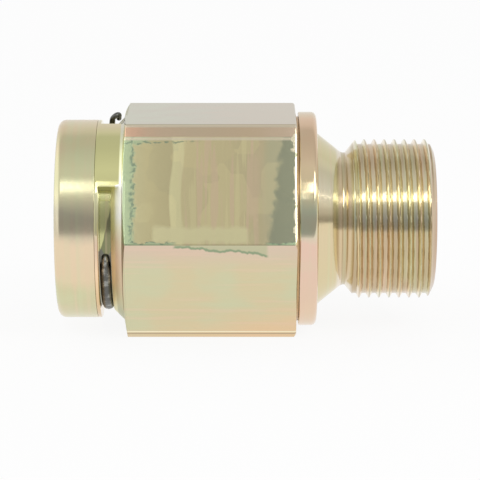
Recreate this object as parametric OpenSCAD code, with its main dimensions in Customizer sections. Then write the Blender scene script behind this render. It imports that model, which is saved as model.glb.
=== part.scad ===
// Straight swivel fitting for a hydraulic cylinder: a hexagonal housing with a screwed-in
// port collar turns about a stem that ends in a male thread with a tube cone.
// The long axis is X, the threaded end points to +X, +Z is up and the housing lies on a flat.
// The origin is the middle of the fitting, on its axis. Millimetres.

/* [Housing] */
// Hexagon across its flats
hex_af = 32; // [31:0.5:36]
// Length of the housing from its left rim to its right end face
housing_l = 29.45; // [28.5:0.05:34]
// Angle of the cone that rises from the wire slot towards the hexagon, from a plane across the axis
foot_cone_a = 45; // [40:1:50]
// Height of that cone
foot_cone_h = 1.55; // [1.3:0.05:1.8]
// Angle of the hexagon's left end face outside the cone, from a plane across the axis
hex_chamfer_a = 10; // [8:1:15]
// Width of the small chamfer that breaks the corners at the right end
hex_end_chamfer = 0.35; // [0.2:0.05:0.6]
// Angle of that chamfer, from a plane across the axis
end_chamfer_a = 30; // [25:1:35]
// Width of the rim between the collar and the wire slot
rim_w = 0.55; // [0.5:0.05:0.9]
// How far the foot of the cone stands outside the wire
foot_gap = 0.05; // [0.05:0.05:0.3]
// Thickness of the wall at the right end that carries the bearing, bush and wiper
end_wall = 6.6; // [6.2:0.1:7.5]

/* [Port collar] */
// Outer diameter of the collar
collar_d = 29.6; // [29:0.1:31]
// Length of the collar that shows
collar_l = 5.9; // [5:0.1:8]
// Rounding of the collar's outer edge
collar_round = 1.1; // [0.6:0.1:1.4]
// Core diameter of the female pipe thread
port_core_d = 18.64; // [17:0.02:18.8]
// Depth of the female port
port_depth = 13.4; // [12:0.1:13.8]
// Width of the chamfer at the port's mouth
port_chamfer = 0.9; // [0.5:0.1:1.2]
// Diameter of the passage from the port to the stem
passage_d = 11; // [8:0.5:12]
// Thickness of the step between the port and the socket for the stem's tail
port_floor = 0.8; // [0.6:0.1:1]
// Length of the spigot that screws into the housing
spigot_l = 14.9; // [14.6:0.1:15.2]
// Radial step from the thread up to the spigot's plain guide under the wire
guide_step = 0.48; // [0.44:0.02:0.56]
// Radial step from the spigot's nose up to the pitch line of its thread
spigot_step = 0.4; // [0.35:0.05:0.5]
// Length of that thread
spigot_thread_l = 5.6; // [5:0.1:6]
// Number of pin spanner holes in the collar's face
face_holes = 4; // [2:1:6]
// Diameter of a pin spanner hole
face_hole_d = 2.2; // [1.8:0.1:2.4]
// Depth of a pin spanner hole
face_hole_depth = 2.4; // [1.5:0.1:3]

/* [Locking wire] */
// Diameter of the spring wire
wire_d = 1.1; // [1:0.05:1.2]
// How far the middle of the wire stands outside the spigot's plain guide
wire_stand = 0.07; // [0.05:0.01:0.15]
// Width of the slot in the housing
slot_w = 1.85; // [1.7:0.05:2]
// Angle above the front at which the slot starts
slot_start_a = 30.5; // [25:0.5:35]
// Angle above the front at which the slot ends, near the top
slot_end_a = 84; // [82:0.5:86]
// Angle over which the slot runs out to a shallow floor
slot_runout_a = 7; // [6:0.5:8]
// Height of the shallow floor, where the slot runs out, over the foot of the cone
runout_step = 0.2; // [0.1:0.05:0.25]
// Angle at which the wire turns in to the cross hole
tail_a = -15; // [-20:1:0]
// Depth of the wire's tail below the ring's centre line
tail_l = 1.6; // [1.2:0.1:1.8]
// Angle past the slot's end at which the wire leaves the ring towards its hook
exit_reach_a = 47; // [46:0.5:48]
// Length of the straight run up to the hook
exit_l = 7.1; // [6.8:0.1:7.2]
// Sideways lean of the straight run over the hexagon's cone
exit_lean = 0.55; // [0.4:0.05:0.6]
// Radius of the hook's bend along the middle of the wire
hook_r = 0.62; // [0.58:0.02:0.66]
// Length of the hook's tip
hook_tip = 0.4; // [0.1:0.05:0.5]
// Angle at which the hook's tip stands out from the long axis
hook_a = 38.5; // [30:0.5:45]

/* [Swivel stem] */
// How far the round shoulder stands back from the hexagon's flats
shoulder_inset = 0; // [0:0.1:0.6]
// Length of the shoulder
shoulder_l = 2.7; // [2.6:0.1:4]
// Rounding of the shoulder's right edge
shoulder_round = 0.8; // [0.4:0.1:1]
// Diameter of the neck where it leaves the shoulder
neck_d = 25.9; // [24:0.1:28]
// Diameter of the neck's narrowest place
waist_d = 19.8; // [19:0.1:21]
// Length of the neck's cone
neck_l = 3.8; // [3.2:0.05:5]
// Length of the waist, where the neck runs straight
waist_l = 0.5; // [0.3:0.05:1]
// Length from the waist up to the thread
runout_l = 1.65; // [1.2:0.05:2]
// Outer diameter of the male thread
thread_d = 23.85; // [23.6:0.05:24]
// Length of the male thread with its end chamfer
thread_l = 11.6; // [11:0.05:14]
// Length of the chamfer at the thread's end
thread_chamfer_l = 0.9; // [0.7:0.05:1.1]
// Outer diameter of the stem's end face
end_face_d = 20.2; // [19.6:0.1:20.6]
// Diameter of the tube socket
tube_d = 16.1; // [15.9:0.05:16.3]
// Depth of the tube socket
tube_depth = 8.5; // [8:0.1:9.5]
// Diameter of the tube cone's mouth
cone_mouth_d = 18.2; // [17.9:0.05:18.4]
// Full angle of the tube cone
cone_a = 24; // [22:1:26]
// Diameter of the bore through the stem
bore_d = 10; // [8:0.5:10.5]
// Diameter of the journal that runs in the bush
journal_d = 16; // [15.9:0.05:16.1]
// Radial step from the journal down to the pitch line of the nut's thread
nut_step = 0.3; // [0.25:0.05:0.35]
// Radial step from that thread down to the tail that runs in the seals
tail_step = 0.3; // [0.25:0.05:0.4]
// Gap between the tail's end and the bottom of its socket
tail_end_gap = 0.4; // [0.3:0.05:0.5]
// Diameter of the hook spanner hole in the shoulder's rim
rim_hole_d = 1.8; // [1.4:0.1:2]
// Depth of the hook spanner hole
rim_hole_depth = 2.2; // [1.5:0.1:3]
// Length of nut thread left free between the tail and the nut
nut_thread_over = 0.4; // [0.3:0.1:0.5]

/* [Thrust bearing] */
// Diameter of a ball
ball_d = 2.5; // [2.3:0.05:2.6]
// Number of balls
ball_count = 18; // [12:1:20]
// Radial gap of the ball cage to the journal and to the bearing chamber
cage_gap = 0.32; // [0.25:0.01:0.4]
// Depth of the ball track in each race
track_depth = 0.4; // [0.3:0.05:0.5]
// Thickness of each race
race_t = 1.2; // [1.1:0.05:1.3]
// Radial gap of the race and nut on the stem to the bearing chamber
chamber_gap = 0.5; // [0.3:0.05:0.6]
// Thickness of the ball cage
cage_t = 1.1; // [0.9:0.05:1.2]
// Radial width of the cage's rims beside the ball pockets
cage_rim = 0.45; // [0.3:0.05:0.5]
// Thickness of the shim behind the race in the housing
shim_t = 0.3; // [0.2:0.05:0.4]
// Width of the shim
shim_w = 2.6; // [2:0.1:2.8]

/* [Stem nut] */
// Thickness of the nut
nut_t = 3; // [2.8:0.05:3.1]
// Number of spanner notches round the nut
nut_notches = 4; // [2:1:4]
// Width of a notch
notch_w = 3; // [2:0.1:3.4]
// Depth of a notch
notch_depth = 1.1; // [0.8:0.1:1.4]
// Diameter of a grub screw
grub_d = 2; // [1.6:0.1:2.2]
// Depth of a grub screw below the nut's rim
grub_inset = 0.7; // [0.6:0.1:1]
// Depth of the hexagon socket in a grub screw
grub_socket = 0.8; // [0.6:0.1:1]

/* [Bush, wiper and washer] */
// Wall of the bush
bush_wall = 1; // [0.8:0.05:1.2]
// Length of the bush
bush_l = 3.6; // [3:0.1:3.8]
// Depth of the bush below the bearing's seat
bush_inset = 0.3; // [0.2:0.05:0.4]
// Radial width of the wiper
wiper_w = 2.5; // [2.3:0.1:2.7]
// Length of the wiper
wiper_l = 2.1; // [1.8:0.05:2.2]
// Radial thickness of the wiper's body round the lip's root
wiper_root = 0.9; // [0.8:0.05:1]
// Depth of the hollow behind the wiper's lip
wiper_hollow = 0.7; // [0.6:0.05:0.8]
// Thickness of the slide washer between the housing and the shoulder
washer_t = 0.3; // [0.25:0.05:0.5]
// How far the slide washer stands back from the shoulder's rim
washer_inset = 0.7; // [0.5:0.1:1.2]
// Radial gap between the wiper and the slide washer's bore
washer_gap = 0.5; // [0.4:0.1:1.5]

/* [Seals] */
// Length of the seal groove round the stem's tail
seal_groove_l = 3.1; // [3:0.05:3.2]
// Depth of the seal groove
seal_groove_depth = 1.72; // [1.5:0.02:1.8]
// Length of the lip that closes the seal groove
seal_lip = 0.75; // [0.6:0.05:0.9]
// Cord diameter of the O-ring on the tail
tail_cord_d = 1.9; // [1.8:0.05:1.95]
// Thickness of each backup ring on the tail
tail_backup_t = 0.55; // [0.45:0.05:0.55]
// Length of the guide ring
guide_l = 1.5; // [1.2:0.05:1.6]
// Thickness of the guide ring
guide_t = 0.8; // [0.6:0.05:0.9]
// Length of the O-ring groove on the spigot
spigot_groove_l = 2.3; // [2.2:0.05:2.4]
// Depth of the O-ring groove on the spigot
spigot_groove_depth = 1.15; // [1:0.05:1.2]
// Cord diameter of the O-ring on the spigot
spigot_cord_d = 1.4; // [1.3:0.05:1.5]
// Thickness of the backup ring on the spigot
spigot_backup_t = 0.6; // [0.5:0.05:0.7]

/* [Fits] */
// Radial clearance where one piece turns in another
run_fit = 0.03; // [0.02:0.01:0.05]
// Clearance between pieces that are seated on each other
seat_fit = 0.01; // [0.005:0.005:0.02]

/* [Hidden] */
$fn = 96;
WIRE_SIDES = 12;
WIRE_STEP = 4;
BEND_STEPS = 6;
OVER = 1;
// Distance from the tail's end to its guide ring
GUIDE_INSET = 0.3;
// Length of the spigot's plain guide past the wire slot, and its gap to the housing's thread
GUIDE_REACH = 0.9;
GUIDE_GAP = 0.3;
// Land between the spigot's thread and its O-ring groove
GROOVE_LAND = 1;
// How far the rim's ring runs on inside the hexagon's cone, and a cut past its end in degrees
WEB_REACH = 1.4;
OVER_A = 1;
// Room round the locking wire: in its groove, over the groove's floor and round its tail
WIRE_SIDE_GAP = 0.25;
WIRE_FLOOR_GAP = 0.05;
TAIL_GAP = 0.06;
TAIL_FLOOR_GAP = 0.2;
TAIL_BEND = 0.1;
// Thickness of the wiper's lip where it leaves its root, and how far it stands back
LIP_WALL = 0.25;
LIP_SET_BACK = 0.1;

ZINC = "#c9b982";
ZINC_ROUND = "#bfae78";
SPRING_STEEL = "#26282c";
RUBBER = "#1d1d1f";
PTFE = "#e9e6dc";
BEARING_STEEL = "#b9bcc2";
BRASS = "#b8913f";
BRONZE = "#a9743c";
POLYURETHANE = "#3e6a9a";

// Diameters, worked out from the journal to the outside
nut_thread_d = journal_d - 2 * nut_step;
tail_d = nut_thread_d - 2 * tail_step;
pocket_d = ball_d + 2 * run_fit;
ball_pcd = journal_d + 2 * cage_gap + 2 * cage_rim + pocket_d;
chamber_d = ball_pcd + pocket_d + 2 * cage_rim + 2 * cage_gap;
stem_race_d = chamber_d - 2 * chamber_gap;
nut_d = stem_race_d;
grub_l = (nut_d - nut_thread_d) / 2 - grub_inset;
wiper_d = journal_d + 2 * run_fit + 2 * wiper_w;
spigot_thread_d = chamber_d + 2 * spigot_step;
spigot_d = spigot_thread_d + 2 * guide_step;
wire_ring_d = spigot_d + 2 * wire_stand;
cone_foot_d = wire_ring_d + wire_d + 2 * foot_gap;
cone_top_d = cone_foot_d + 2 * foot_cone_h;
runout_d = cone_foot_d + 2 * runout_step;
rim_d = collar_d;
shoulder_d = hex_af - 2 * shoulder_inset;
washer_d = shoulder_d - 2 * washer_inset;
washer_bore = wiper_d + 2 * washer_gap;

// Places along the axis, from the collar's face at 0
housing_x = collar_l + seat_fit;
slot_x = housing_x + rim_w;
slot_end_x = slot_x + slot_w;
slot_mid_x = slot_x + slot_w / 2;
housing_end_x = housing_x + housing_l;
wall_x = housing_end_x - end_wall;
washer_x = housing_end_x + seat_fit;
shoulder_x = washer_x + washer_t + run_fit;
neck_x = shoulder_x + shoulder_l;
waist_x = neck_x + neck_l;
thread_x = waist_x + waist_l + runout_l;
overall_l = thread_x + thread_l;

// Bearing stack, built up leftwards from the seat in the housing
shim_x = wall_x - shim_t - seat_fit;
housing_race_x = shim_x - race_t - seat_fit;
ball_x = housing_race_x + track_depth - run_fit - ball_d / 2;
stem_race_end_x = ball_x - ball_d / 2 + track_depth - run_fit;
stem_race_x = stem_race_end_x - race_t;
nut_x = stem_race_x - seat_fit - nut_t;
track_r = ball_d / 2 + run_fit;

// Spigot of the port collar, its thread, seals and the socket for the stem's tail
spigot_end_x = collar_l + spigot_l;
seal_groove_end_x = spigot_end_x - seal_lip;
seal_groove_x = seal_groove_end_x - seal_groove_l;
socket_x = port_depth + port_floor;
socket_d = tail_d + 2 * run_fit;
tail_x = socket_x + tail_end_gap;
guide_x = tail_x + GUIDE_INSET;
spigot_thread_x = slot_end_x + GUIDE_REACH;
spigot_thread_end_x = spigot_thread_x + spigot_thread_l;
spigot_nose_d = chamber_d - 2 * run_fit;
spigot_groove_x = spigot_thread_end_x + GROOVE_LAND;
spigot_groove_d = spigot_nose_d - 2 * spigot_groove_depth;

// Hexagon, wire and washers
hex_corner_r = hex_af / 2 / cos(30);
rim_bore_d = chamber_d - OVER;
cone_top_x = slot_end_x + foot_cone_h * tan(foot_cone_a);
end_chamfer_rise = tan(end_chamfer_a);
wire_ring_r = wire_ring_d / 2;
wire_groove_w = wire_d + 2 * WIRE_SIDE_GAP;
wire_groove_d = wire_ring_d - wire_d - 2 * WIRE_FLOOR_GAP;
bush_x = wall_x + bush_inset;
bush_d = journal_d + 2 * run_fit + 2 * bush_wall;
wiper_x = housing_end_x - wiper_l;
face_hole_r = (port_core_d / 2 + port_chamfer + collar_d / 2 - collar_round) / 2;
cone_l = (cone_mouth_d - tube_d) / 2 / tan(cone_a / 2);

// Direction that points a given angle above the front, seen along the axis
function ahead(a) = [0, -cos(a), sin(a)];
// Direction in which the wire runs there, from the front down and round the back
function along(a) = [0, -sin(a), -cos(a)];
function unit(v) = v / norm(v);

// Lays a turned profile of [radius, place along the axis] points along X
module turned(points) {
    rotate([0, 90, 0]) rotate_extrude() polygon(points);
}

// Ring with a rectangular section
module ring(x, l, outer_d, inner_d) {
    turned([[inner_d / 2, x], [outer_d / 2, x], [outer_d / 2, x + l], [inner_d / 2, x + l]]);
}

// Solid round bar, for cutting
module bar(x, l, d) {
    translate([x, 0, 0]) rotate([0, 90, 0]) cylinder(d = d, h = l);
}

// Part of a ring that starts at one angle above the front and runs down and round the back
module ring_part(x, l, outer_d, inner_d, start_a, sweep_a) {
    rotate([-90 - start_a, 0, 0]) rotate([0, 90, 0]) rotate_extrude(angle = sweep_a)
        polygon([[inner_d / 2, x], [outer_d / 2, x], [outer_d / 2, x + l], [inner_d / 2, x + l]]);
}

// O-ring squeezed flat between two round walls
module squeezed_ring(x, cord_d, outer_d, inner_d) {
    mid_r = (outer_d + inner_d) / 4;
    rotate([0, 90, 0]) rotate_extrude() intersection() {
        translate([mid_r, x]) circle(d = cord_d, $fn = 48);
        translate([inner_d / 2, x - cord_d]) square([(outer_d - inner_d) / 2, 2 * cord_d]);
    }
}

// Puts the fitting's middle on the origin
module placed() {
    translate([-overall_l / 2, 0, 0]) children();
}

// Hexagon with a turned cone and a sloped face on its left end, and broken corners on its right end
module hexagon_blank() {
    corner_x = cone_top_x + (hex_corner_r + OVER - cone_top_d / 2) * tan(hex_chamfer_a);
    intersection() {
        translate([slot_end_x, 0, 0]) rotate([90, 0, 90])
            cylinder(r = hex_corner_r, h = housing_end_x - slot_end_x, $fn = 6);
        turned([
            [0, slot_end_x],
            [cone_foot_d / 2, slot_end_x],
            [cone_top_d / 2, cone_top_x],
            [hex_corner_r + OVER, corner_x],
            [hex_corner_r + OVER, housing_end_x - hex_end_chamfer - OVER * end_chamfer_rise],
            [hex_corner_r - hex_end_chamfer / end_chamfer_rise, housing_end_x],
            [hex_corner_r - hex_end_chamfer / end_chamfer_rise - OVER, housing_end_x + OVER],
            [0, housing_end_x + OVER]
        ]);
    }
}

// Rim at the left end, held by a web: the wire slot is open all round but for the web
module rim_and_web() {
    open_a = 360 - (slot_end_a - slot_start_a) - slot_runout_a;
    floor_a = slot_runout_a + OVER_A;
    cut_l = slot_w + WEB_REACH + OVER;
    difference() {
        ring(housing_x, rim_w + slot_w + WEB_REACH, rim_d, rim_bore_d);
        ring_part(slot_x, cut_l, rim_d + OVER, rim_bore_d - OVER, slot_start_a, open_a);
        ring_part(slot_x, cut_l, rim_d + OVER, runout_d, slot_end_a + floor_a, floor_a);
    }
}

// Housing: hexagon, rim and web, threaded mouth, bearing chamber and end wall
module hex_housing() {
    color(ZINC) placed() difference() {
        union() {
            hexagon_blank();
            rim_and_web();
        }
        bar(housing_x - OVER, spigot_thread_x - housing_x + OVER, spigot_d + 2 * seat_fit);
        bar(spigot_thread_x - OVER, spigot_thread_l + OVER, spigot_thread_d + 2 * seat_fit);
        bar(spigot_thread_end_x - OVER, wall_x - spigot_thread_end_x + OVER, chamber_d);
        bar(wall_x - OVER, end_wall + 2 * OVER, journal_d + 4 * run_fit);
        bar(bush_x, housing_end_x - bush_x + OVER, bush_d + 2 * seat_fit);
        bar(wiper_x, wiper_l + OVER, wiper_d + 2 * seat_fit);
    }
}

// Port collar: round collar, spigot, female port, seal grooves and tail socket
module port_collar() {
    color(ZINC_ROUND) placed() difference() {
        union() {
            rotate([0, 90, 0]) rotate_extrude() union() {
                translate([0, collar_round]) square([collar_d / 2, collar_l - collar_round]);
                square([collar_d / 2 - collar_round, collar_l]);
                translate([collar_d / 2 - collar_round, collar_round]) circle(r = collar_round, $fn = 64);
            }
            bar(collar_l - OVER, spigot_thread_x - collar_l + OVER - GUIDE_GAP, spigot_d);
            bar(collar_l, spigot_thread_end_x - collar_l, spigot_thread_d);
            bar(collar_l, spigot_l, spigot_nose_d);
        }
        bar(-OVER, port_depth + OVER, port_core_d);
        turned([
            [0, -OVER],
            [port_core_d / 2 + port_chamfer + OVER, -OVER],
            [port_core_d / 2, port_chamfer],
            [0, port_chamfer]
        ]);
        bar(0, spigot_end_x, passage_d);
        bar(socket_x, spigot_end_x, socket_d);
        bar(guide_x, guide_l + 2 * seat_fit, tail_d + 2 * guide_t);
        bar(seal_groove_x, seal_groove_l, tail_d + 2 * seal_groove_depth);
        ring(spigot_groove_x, spigot_groove_l, spigot_nose_d + OVER, spigot_groove_d);
        ring(slot_mid_x - wire_groove_w / 2, wire_groove_w, spigot_d + OVER, wire_groove_d);
        for (i = [0 : face_holes - 1])
            rotate([i * 360 / face_holes, 0, 0]) translate([0, 0, face_hole_r])
                bar(-OVER, face_hole_depth + OVER, face_hole_d);
        rotate([-90 - tail_a, 0, 0]) translate([slot_mid_x, 0, -wire_ring_r])
            cylinder(d = wire_d + 2 * TAIL_GAP, h = tail_l + TAIL_FLOOR_GAP);
    }
}

// Route of the locking wire: tail, ring, straight run and hook
exit_a = slot_end_a + exit_reach_a;
tail_bend_r = wire_d / 2 + TAIL_BEND;
tail_route = concat(
    [ahead(tail_a) * (wire_ring_r - tail_l)],
    [for (i = [0 : BEND_STEPS])
        ahead(tail_a) * (wire_ring_r - tail_bend_r * (1 - sin(i * 90 / BEND_STEPS)))
        + along(tail_a) * tail_bend_r * (1 - cos(i * 90 / BEND_STEPS))]
);
ring_start_a = tail_a - atan(tail_bend_r / wire_ring_r) - WIRE_STEP;
ring_sweep = ring_start_a + 360 - exit_a;
ring_steps = round(ring_sweep / WIRE_STEP);
ring_route = [for (i = [0 : ring_steps]) ahead(ring_start_a - i * ring_sweep / ring_steps) * wire_ring_r];
exit_start = ahead(exit_a) * wire_ring_r;
exit_way = unit(along(exit_a) * exit_l + [exit_lean, 0, 0]);
exit_end = exit_start + along(exit_a) * exit_l + [exit_lean, 0, 0];
hook_lift = ahead(exit_a - atan(exit_l / wire_ring_r)) * sin(hook_a) + [cos(hook_a), 0, 0];
hook_way = unit(hook_lift - exit_way * (hook_lift * exit_way));
hook_route = concat(
    [for (i = [0 : BEND_STEPS])
        exit_end + exit_way * hook_r * sin(i * 90 / BEND_STEPS)
        + hook_way * hook_r * (1 - cos(i * 90 / BEND_STEPS))],
    [exit_end + exit_way * hook_r + hook_way * (hook_r + hook_tip)]
);
wire_route = concat(tail_route, ring_route, hook_route);

// Direction of the route at one of its points
function heading(route, i) = unit(route[min(i + 1, len(route) - 1)] - route[max(i - 1, 0)]);
// Sideways direction there, kept as near the axis as the heading allows
function sideways(way) = unit([1, 0, 0] - way * way[0]);
// Corners of the wire's section there
function section(route, i, d) =
    let (way = heading(route, i), side = sideways(way), up = cross(way, side))
    [for (k = [0 : WIRE_SIDES - 1])
        route[i] + side * d / 2 * cos(k * 360 / WIRE_SIDES) + up * d / 2 * sin(k * 360 / WIRE_SIDES)];

// Wire of one diameter swept along a route
module swept_wire(route, d) {
    last = len(route) - 1;
    points = [for (i = [0 : last]) each section(route, i, d)];
    sides = [for (i = [0 : last - 1], k = [0 : WIRE_SIDES - 1])
        let (n = (k + 1) % WIRE_SIDES)
        [i * WIRE_SIDES + k, (i + 1) * WIRE_SIDES + k, (i + 1) * WIRE_SIDES + n, i * WIRE_SIDES + n]];
    first_cap = [for (k = [0 : WIRE_SIDES - 1]) k];
    last_cap = [for (k = [0 : WIRE_SIDES - 1]) (last + 1) * WIRE_SIDES - 1 - k];
    polyhedron(points = points, faces = concat(sides, [first_cap, last_cap]), convexity = 6);
}

module locking_wire() {
    color(SPRING_STEEL) placed() translate([slot_mid_x, 0, 0]) swept_wire(wire_route, wire_d);
}

// Static seal between the spigot and the bearing chamber
module collar_o_ring() {
    color(RUBBER) placed()
        squeezed_ring(spigot_groove_x + spigot_cord_d / 2 + seat_fit, spigot_cord_d,
            chamber_d - 2 * seat_fit, spigot_groove_d + 2 * seat_fit);
}

module collar_backup_ring() {
    color(PTFE) placed()
        ring(spigot_groove_x + spigot_groove_l - spigot_backup_t - seat_fit, spigot_backup_t,
            chamber_d - 2 * seat_fit, spigot_groove_d + 2 * seat_fit);
}

// Guide and seals round the stem's tail
module tail_guide_ring() {
    color(PTFE) placed()
        ring(guide_x + seat_fit, guide_l, tail_d + 2 * guide_t - 2 * seat_fit, tail_d + 2 * run_fit);
}

module tail_backup(x) {
    color(PTFE) placed()
        ring(x, tail_backup_t, tail_d + 2 * seal_groove_depth - 2 * seat_fit, tail_d + 2 * run_fit);
}

module left_backup_ring() {
    tail_backup(seal_groove_x + seat_fit);
}

module pressure_o_ring() {
    color(RUBBER) placed()
        squeezed_ring(seal_groove_x + seal_groove_l / 2, tail_cord_d,
            tail_d + 2 * seal_groove_depth - 2 * seat_fit, tail_d + 2 * run_fit);
}

module right_backup_ring() {
    tail_backup(seal_groove_end_x - tail_backup_t - seat_fit);
}

// Ring track that the balls run in
module ball_track() {
    translate([ball_x, 0, 0]) rotate([0, 90, 0]) rotate_extrude()
        translate([ball_pcd / 2, 0]) circle(r = track_r, $fn = 48);
}

module bearing_shim() {
    shim_d = chamber_d - 2 * seat_fit;
    color(BEARING_STEEL) placed() ring(shim_x, shim_t, shim_d, shim_d - 2 * shim_w);
}

module housing_race() {
    color(BEARING_STEEL) placed() difference() {
        ring(housing_race_x, race_t, chamber_d - 2 * seat_fit, journal_d + 6 * run_fit);
        ball_track();
    }
}

module stem_race() {
    color(BEARING_STEEL) placed() difference() {
        ring(stem_race_x, race_t, stem_race_d, journal_d + 2 * seat_fit);
        ball_track();
    }
}

module each_ball() {
    for (i = [0 : ball_count - 1])
        rotate([i * 360 / ball_count, 0, 0]) translate([ball_x, 0, ball_pcd / 2]) children();
}

module thrust_balls() {
    color(BEARING_STEEL) placed() each_ball() sphere(d = ball_d, $fn = 48);
}

module ball_cage() {
    color(BRASS) placed() difference() {
        ring(ball_x - cage_t / 2, cage_t, ball_pcd + pocket_d + 2 * cage_rim,
            ball_pcd - pocket_d - 2 * cage_rim);
        each_ball() bar(-cage_t, 2 * cage_t, pocket_d);
    }
}

// Round nut that holds the stem in the housing
module stem_nut() {
    color(BEARING_STEEL) placed() difference() {
        ring(nut_x, nut_t, nut_d, nut_thread_d + 2 * seat_fit);
        for (i = [0 : nut_notches - 1])
            rotate([i * 360 / nut_notches, 0, 0])
                translate([nut_x - OVER, -notch_w / 2, nut_d / 2 - notch_depth])
                    cube([nut_t + 2 * OVER, notch_w, notch_depth + OVER]);
        each_grub(grub_d + 2 * seat_fit, nut_d);
    }
}

module each_grub(d, l) {
    for (i = [0 : 1])
        rotate([45 + i * 180, 0, 0])
            translate([nut_x + nut_t / 2, 0, nut_thread_d / 2 + 2 * seat_fit]) cylinder(d = d, h = l);
}

module nut_grub_screws() {
    socket_d = grub_d / 2;
    color(SPRING_STEEL) placed() difference() {
        each_grub(grub_d, grub_l);
        for (i = [0 : 1])
            rotate([45 + i * 180, 0, 0])
                translate([nut_x + nut_t / 2, 0, nut_thread_d / 2 + grub_l - grub_socket])
                    cylinder(d = socket_d, h = OVER + grub_socket, $fn = 6);
    }
}

module neck_bush() {
    color(BRONZE) placed() ring(bush_x + seat_fit, bush_l, bush_d, journal_d + 2 * run_fit);
}

// Wiper with a body seated in the housing and a lip that leans out along the stem
module dust_wiper() {
    lip_d = journal_d + 2 * run_fit;
    lip_x = housing_end_x - LIP_SET_BACK;
    color(POLYURETHANE) placed() turned([
        [lip_d / 2 + wiper_root, wiper_x + seat_fit],
        [wiper_d / 2, wiper_x + seat_fit],
        [wiper_d / 2, lip_x],
        [lip_d / 2 + wiper_root + 2 * LIP_WALL, lip_x],
        [lip_d / 2 + wiper_root, lip_x - wiper_hollow],
        [lip_d / 2 + LIP_WALL, lip_x],
        [lip_d / 2, lip_x - LIP_WALL],
        [lip_d / 2, lip_x - 2 * LIP_WALL]
    ]);
}

module slide_washer() {
    color(BRONZE) placed() ring(washer_x, washer_t, washer_d, washer_bore);
}

// Stem: tail, nut thread, journal, shoulder, neck and male thread, drilled through
module swivel_stem() {
    color(ZINC_ROUND) placed() difference() {
        union() {
            bar(tail_x, shoulder_x - tail_x, tail_d);
            bar(nut_x - nut_thread_over, shoulder_x - nut_x, nut_thread_d);
            bar(stem_race_x, shoulder_x - stem_race_x + OVER, journal_d);
            rotate([0, 90, 0]) rotate_extrude() union() {
                translate([0, shoulder_x]) square([shoulder_d / 2, shoulder_l - shoulder_round]);
                translate([0, shoulder_x]) square([shoulder_d / 2 - shoulder_round, shoulder_l]);
                translate([shoulder_d / 2 - shoulder_round, neck_x - shoulder_round])
                    circle(r = shoulder_round, $fn = 64);
            }
            turned([
                [0, neck_x - OVER],
                [neck_d / 2, neck_x - OVER],
                [neck_d / 2, neck_x],
                [waist_d / 2, waist_x],
                [waist_d / 2, waist_x + waist_l],
                [thread_d / 2, thread_x],
                [thread_d / 2, overall_l - thread_chamfer_l],
                [end_face_d / 2, overall_l],
                [0, overall_l]
            ]);
        }
        bar(tail_x - OVER, overall_l, bore_d);
        bar(overall_l - tube_depth, tube_depth + OVER, tube_d);
        turned([
            [0, overall_l - cone_l],
            [tube_d / 2, overall_l - cone_l],
            [cone_mouth_d / 2, overall_l],
            [cone_mouth_d / 2, overall_l + OVER],
            [0, overall_l + OVER]
        ]);
        translate([shoulder_x + shoulder_l / 2, shoulder_d / 2 + OVER, 0]) rotate([90, 0, 0])
            cylinder(d = rim_hole_d, h = rim_hole_depth + OVER);
    }
}

hex_housing();
port_collar();
locking_wire();
collar_o_ring();
collar_backup_ring();
tail_guide_ring();
left_backup_ring();
pressure_o_ring();
right_backup_ring();
bearing_shim();
housing_race();
thrust_balls();
ball_cage();
stem_race();
stem_nut();
nut_grub_screws();
neck_bush();
dust_wiper();
slide_washer();
swivel_stem();
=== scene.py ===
"""Looks of a straight hydraulic swivel fitting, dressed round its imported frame.

Lengths are millimetres, counted along the axis from the port collar's face and out from the axis,
unless a name ends in _m. The finishes count along the axis from the fitting's middle, as the frame does.
Angles are degrees above the front of the fitting, seen along its axis.
"""

import logging
import math
from collections.abc import Sequence
from dataclasses import dataclass, field
from enum import Enum

import bmesh
import bpy
import numpy as np
from mathutils import Matrix, Vector


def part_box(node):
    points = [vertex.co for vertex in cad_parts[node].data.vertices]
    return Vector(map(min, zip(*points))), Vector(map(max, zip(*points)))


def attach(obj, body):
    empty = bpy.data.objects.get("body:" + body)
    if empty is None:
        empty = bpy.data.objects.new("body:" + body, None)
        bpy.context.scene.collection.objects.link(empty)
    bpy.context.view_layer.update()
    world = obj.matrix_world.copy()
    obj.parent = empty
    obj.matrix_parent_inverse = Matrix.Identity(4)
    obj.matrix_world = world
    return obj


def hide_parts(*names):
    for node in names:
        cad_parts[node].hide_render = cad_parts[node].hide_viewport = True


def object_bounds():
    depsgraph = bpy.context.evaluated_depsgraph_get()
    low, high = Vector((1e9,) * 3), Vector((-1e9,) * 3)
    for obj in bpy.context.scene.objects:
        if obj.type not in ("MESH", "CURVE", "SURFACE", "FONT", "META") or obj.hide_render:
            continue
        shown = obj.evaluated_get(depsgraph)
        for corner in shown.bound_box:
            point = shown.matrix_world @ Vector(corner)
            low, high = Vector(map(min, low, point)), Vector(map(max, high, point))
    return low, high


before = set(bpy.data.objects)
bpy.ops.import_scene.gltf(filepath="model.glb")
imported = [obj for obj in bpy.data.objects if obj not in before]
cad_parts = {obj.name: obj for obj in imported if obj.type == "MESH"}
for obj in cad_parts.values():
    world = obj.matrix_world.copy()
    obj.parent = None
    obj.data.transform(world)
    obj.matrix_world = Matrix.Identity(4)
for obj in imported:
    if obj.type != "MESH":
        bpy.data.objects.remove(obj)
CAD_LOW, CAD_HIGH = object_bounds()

log = logging.getLogger("fitting")

MM = 0.001
LEFT_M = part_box("port_collar")[0].x
SHARP_EDGE_DEG = 32.0

Point = tuple[float, float]
Span = tuple[float, float]
Triple = tuple[float, float, float]
Colour = tuple[float, float, float]
Tints = tuple[tuple[float, Colour], ...]


class Grain(Enum):
    """Marks that the making of a surface leaves on it."""

    TURNED = "turned"
    DRAWN = "drawn"
    PLAIN = "plain"


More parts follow.
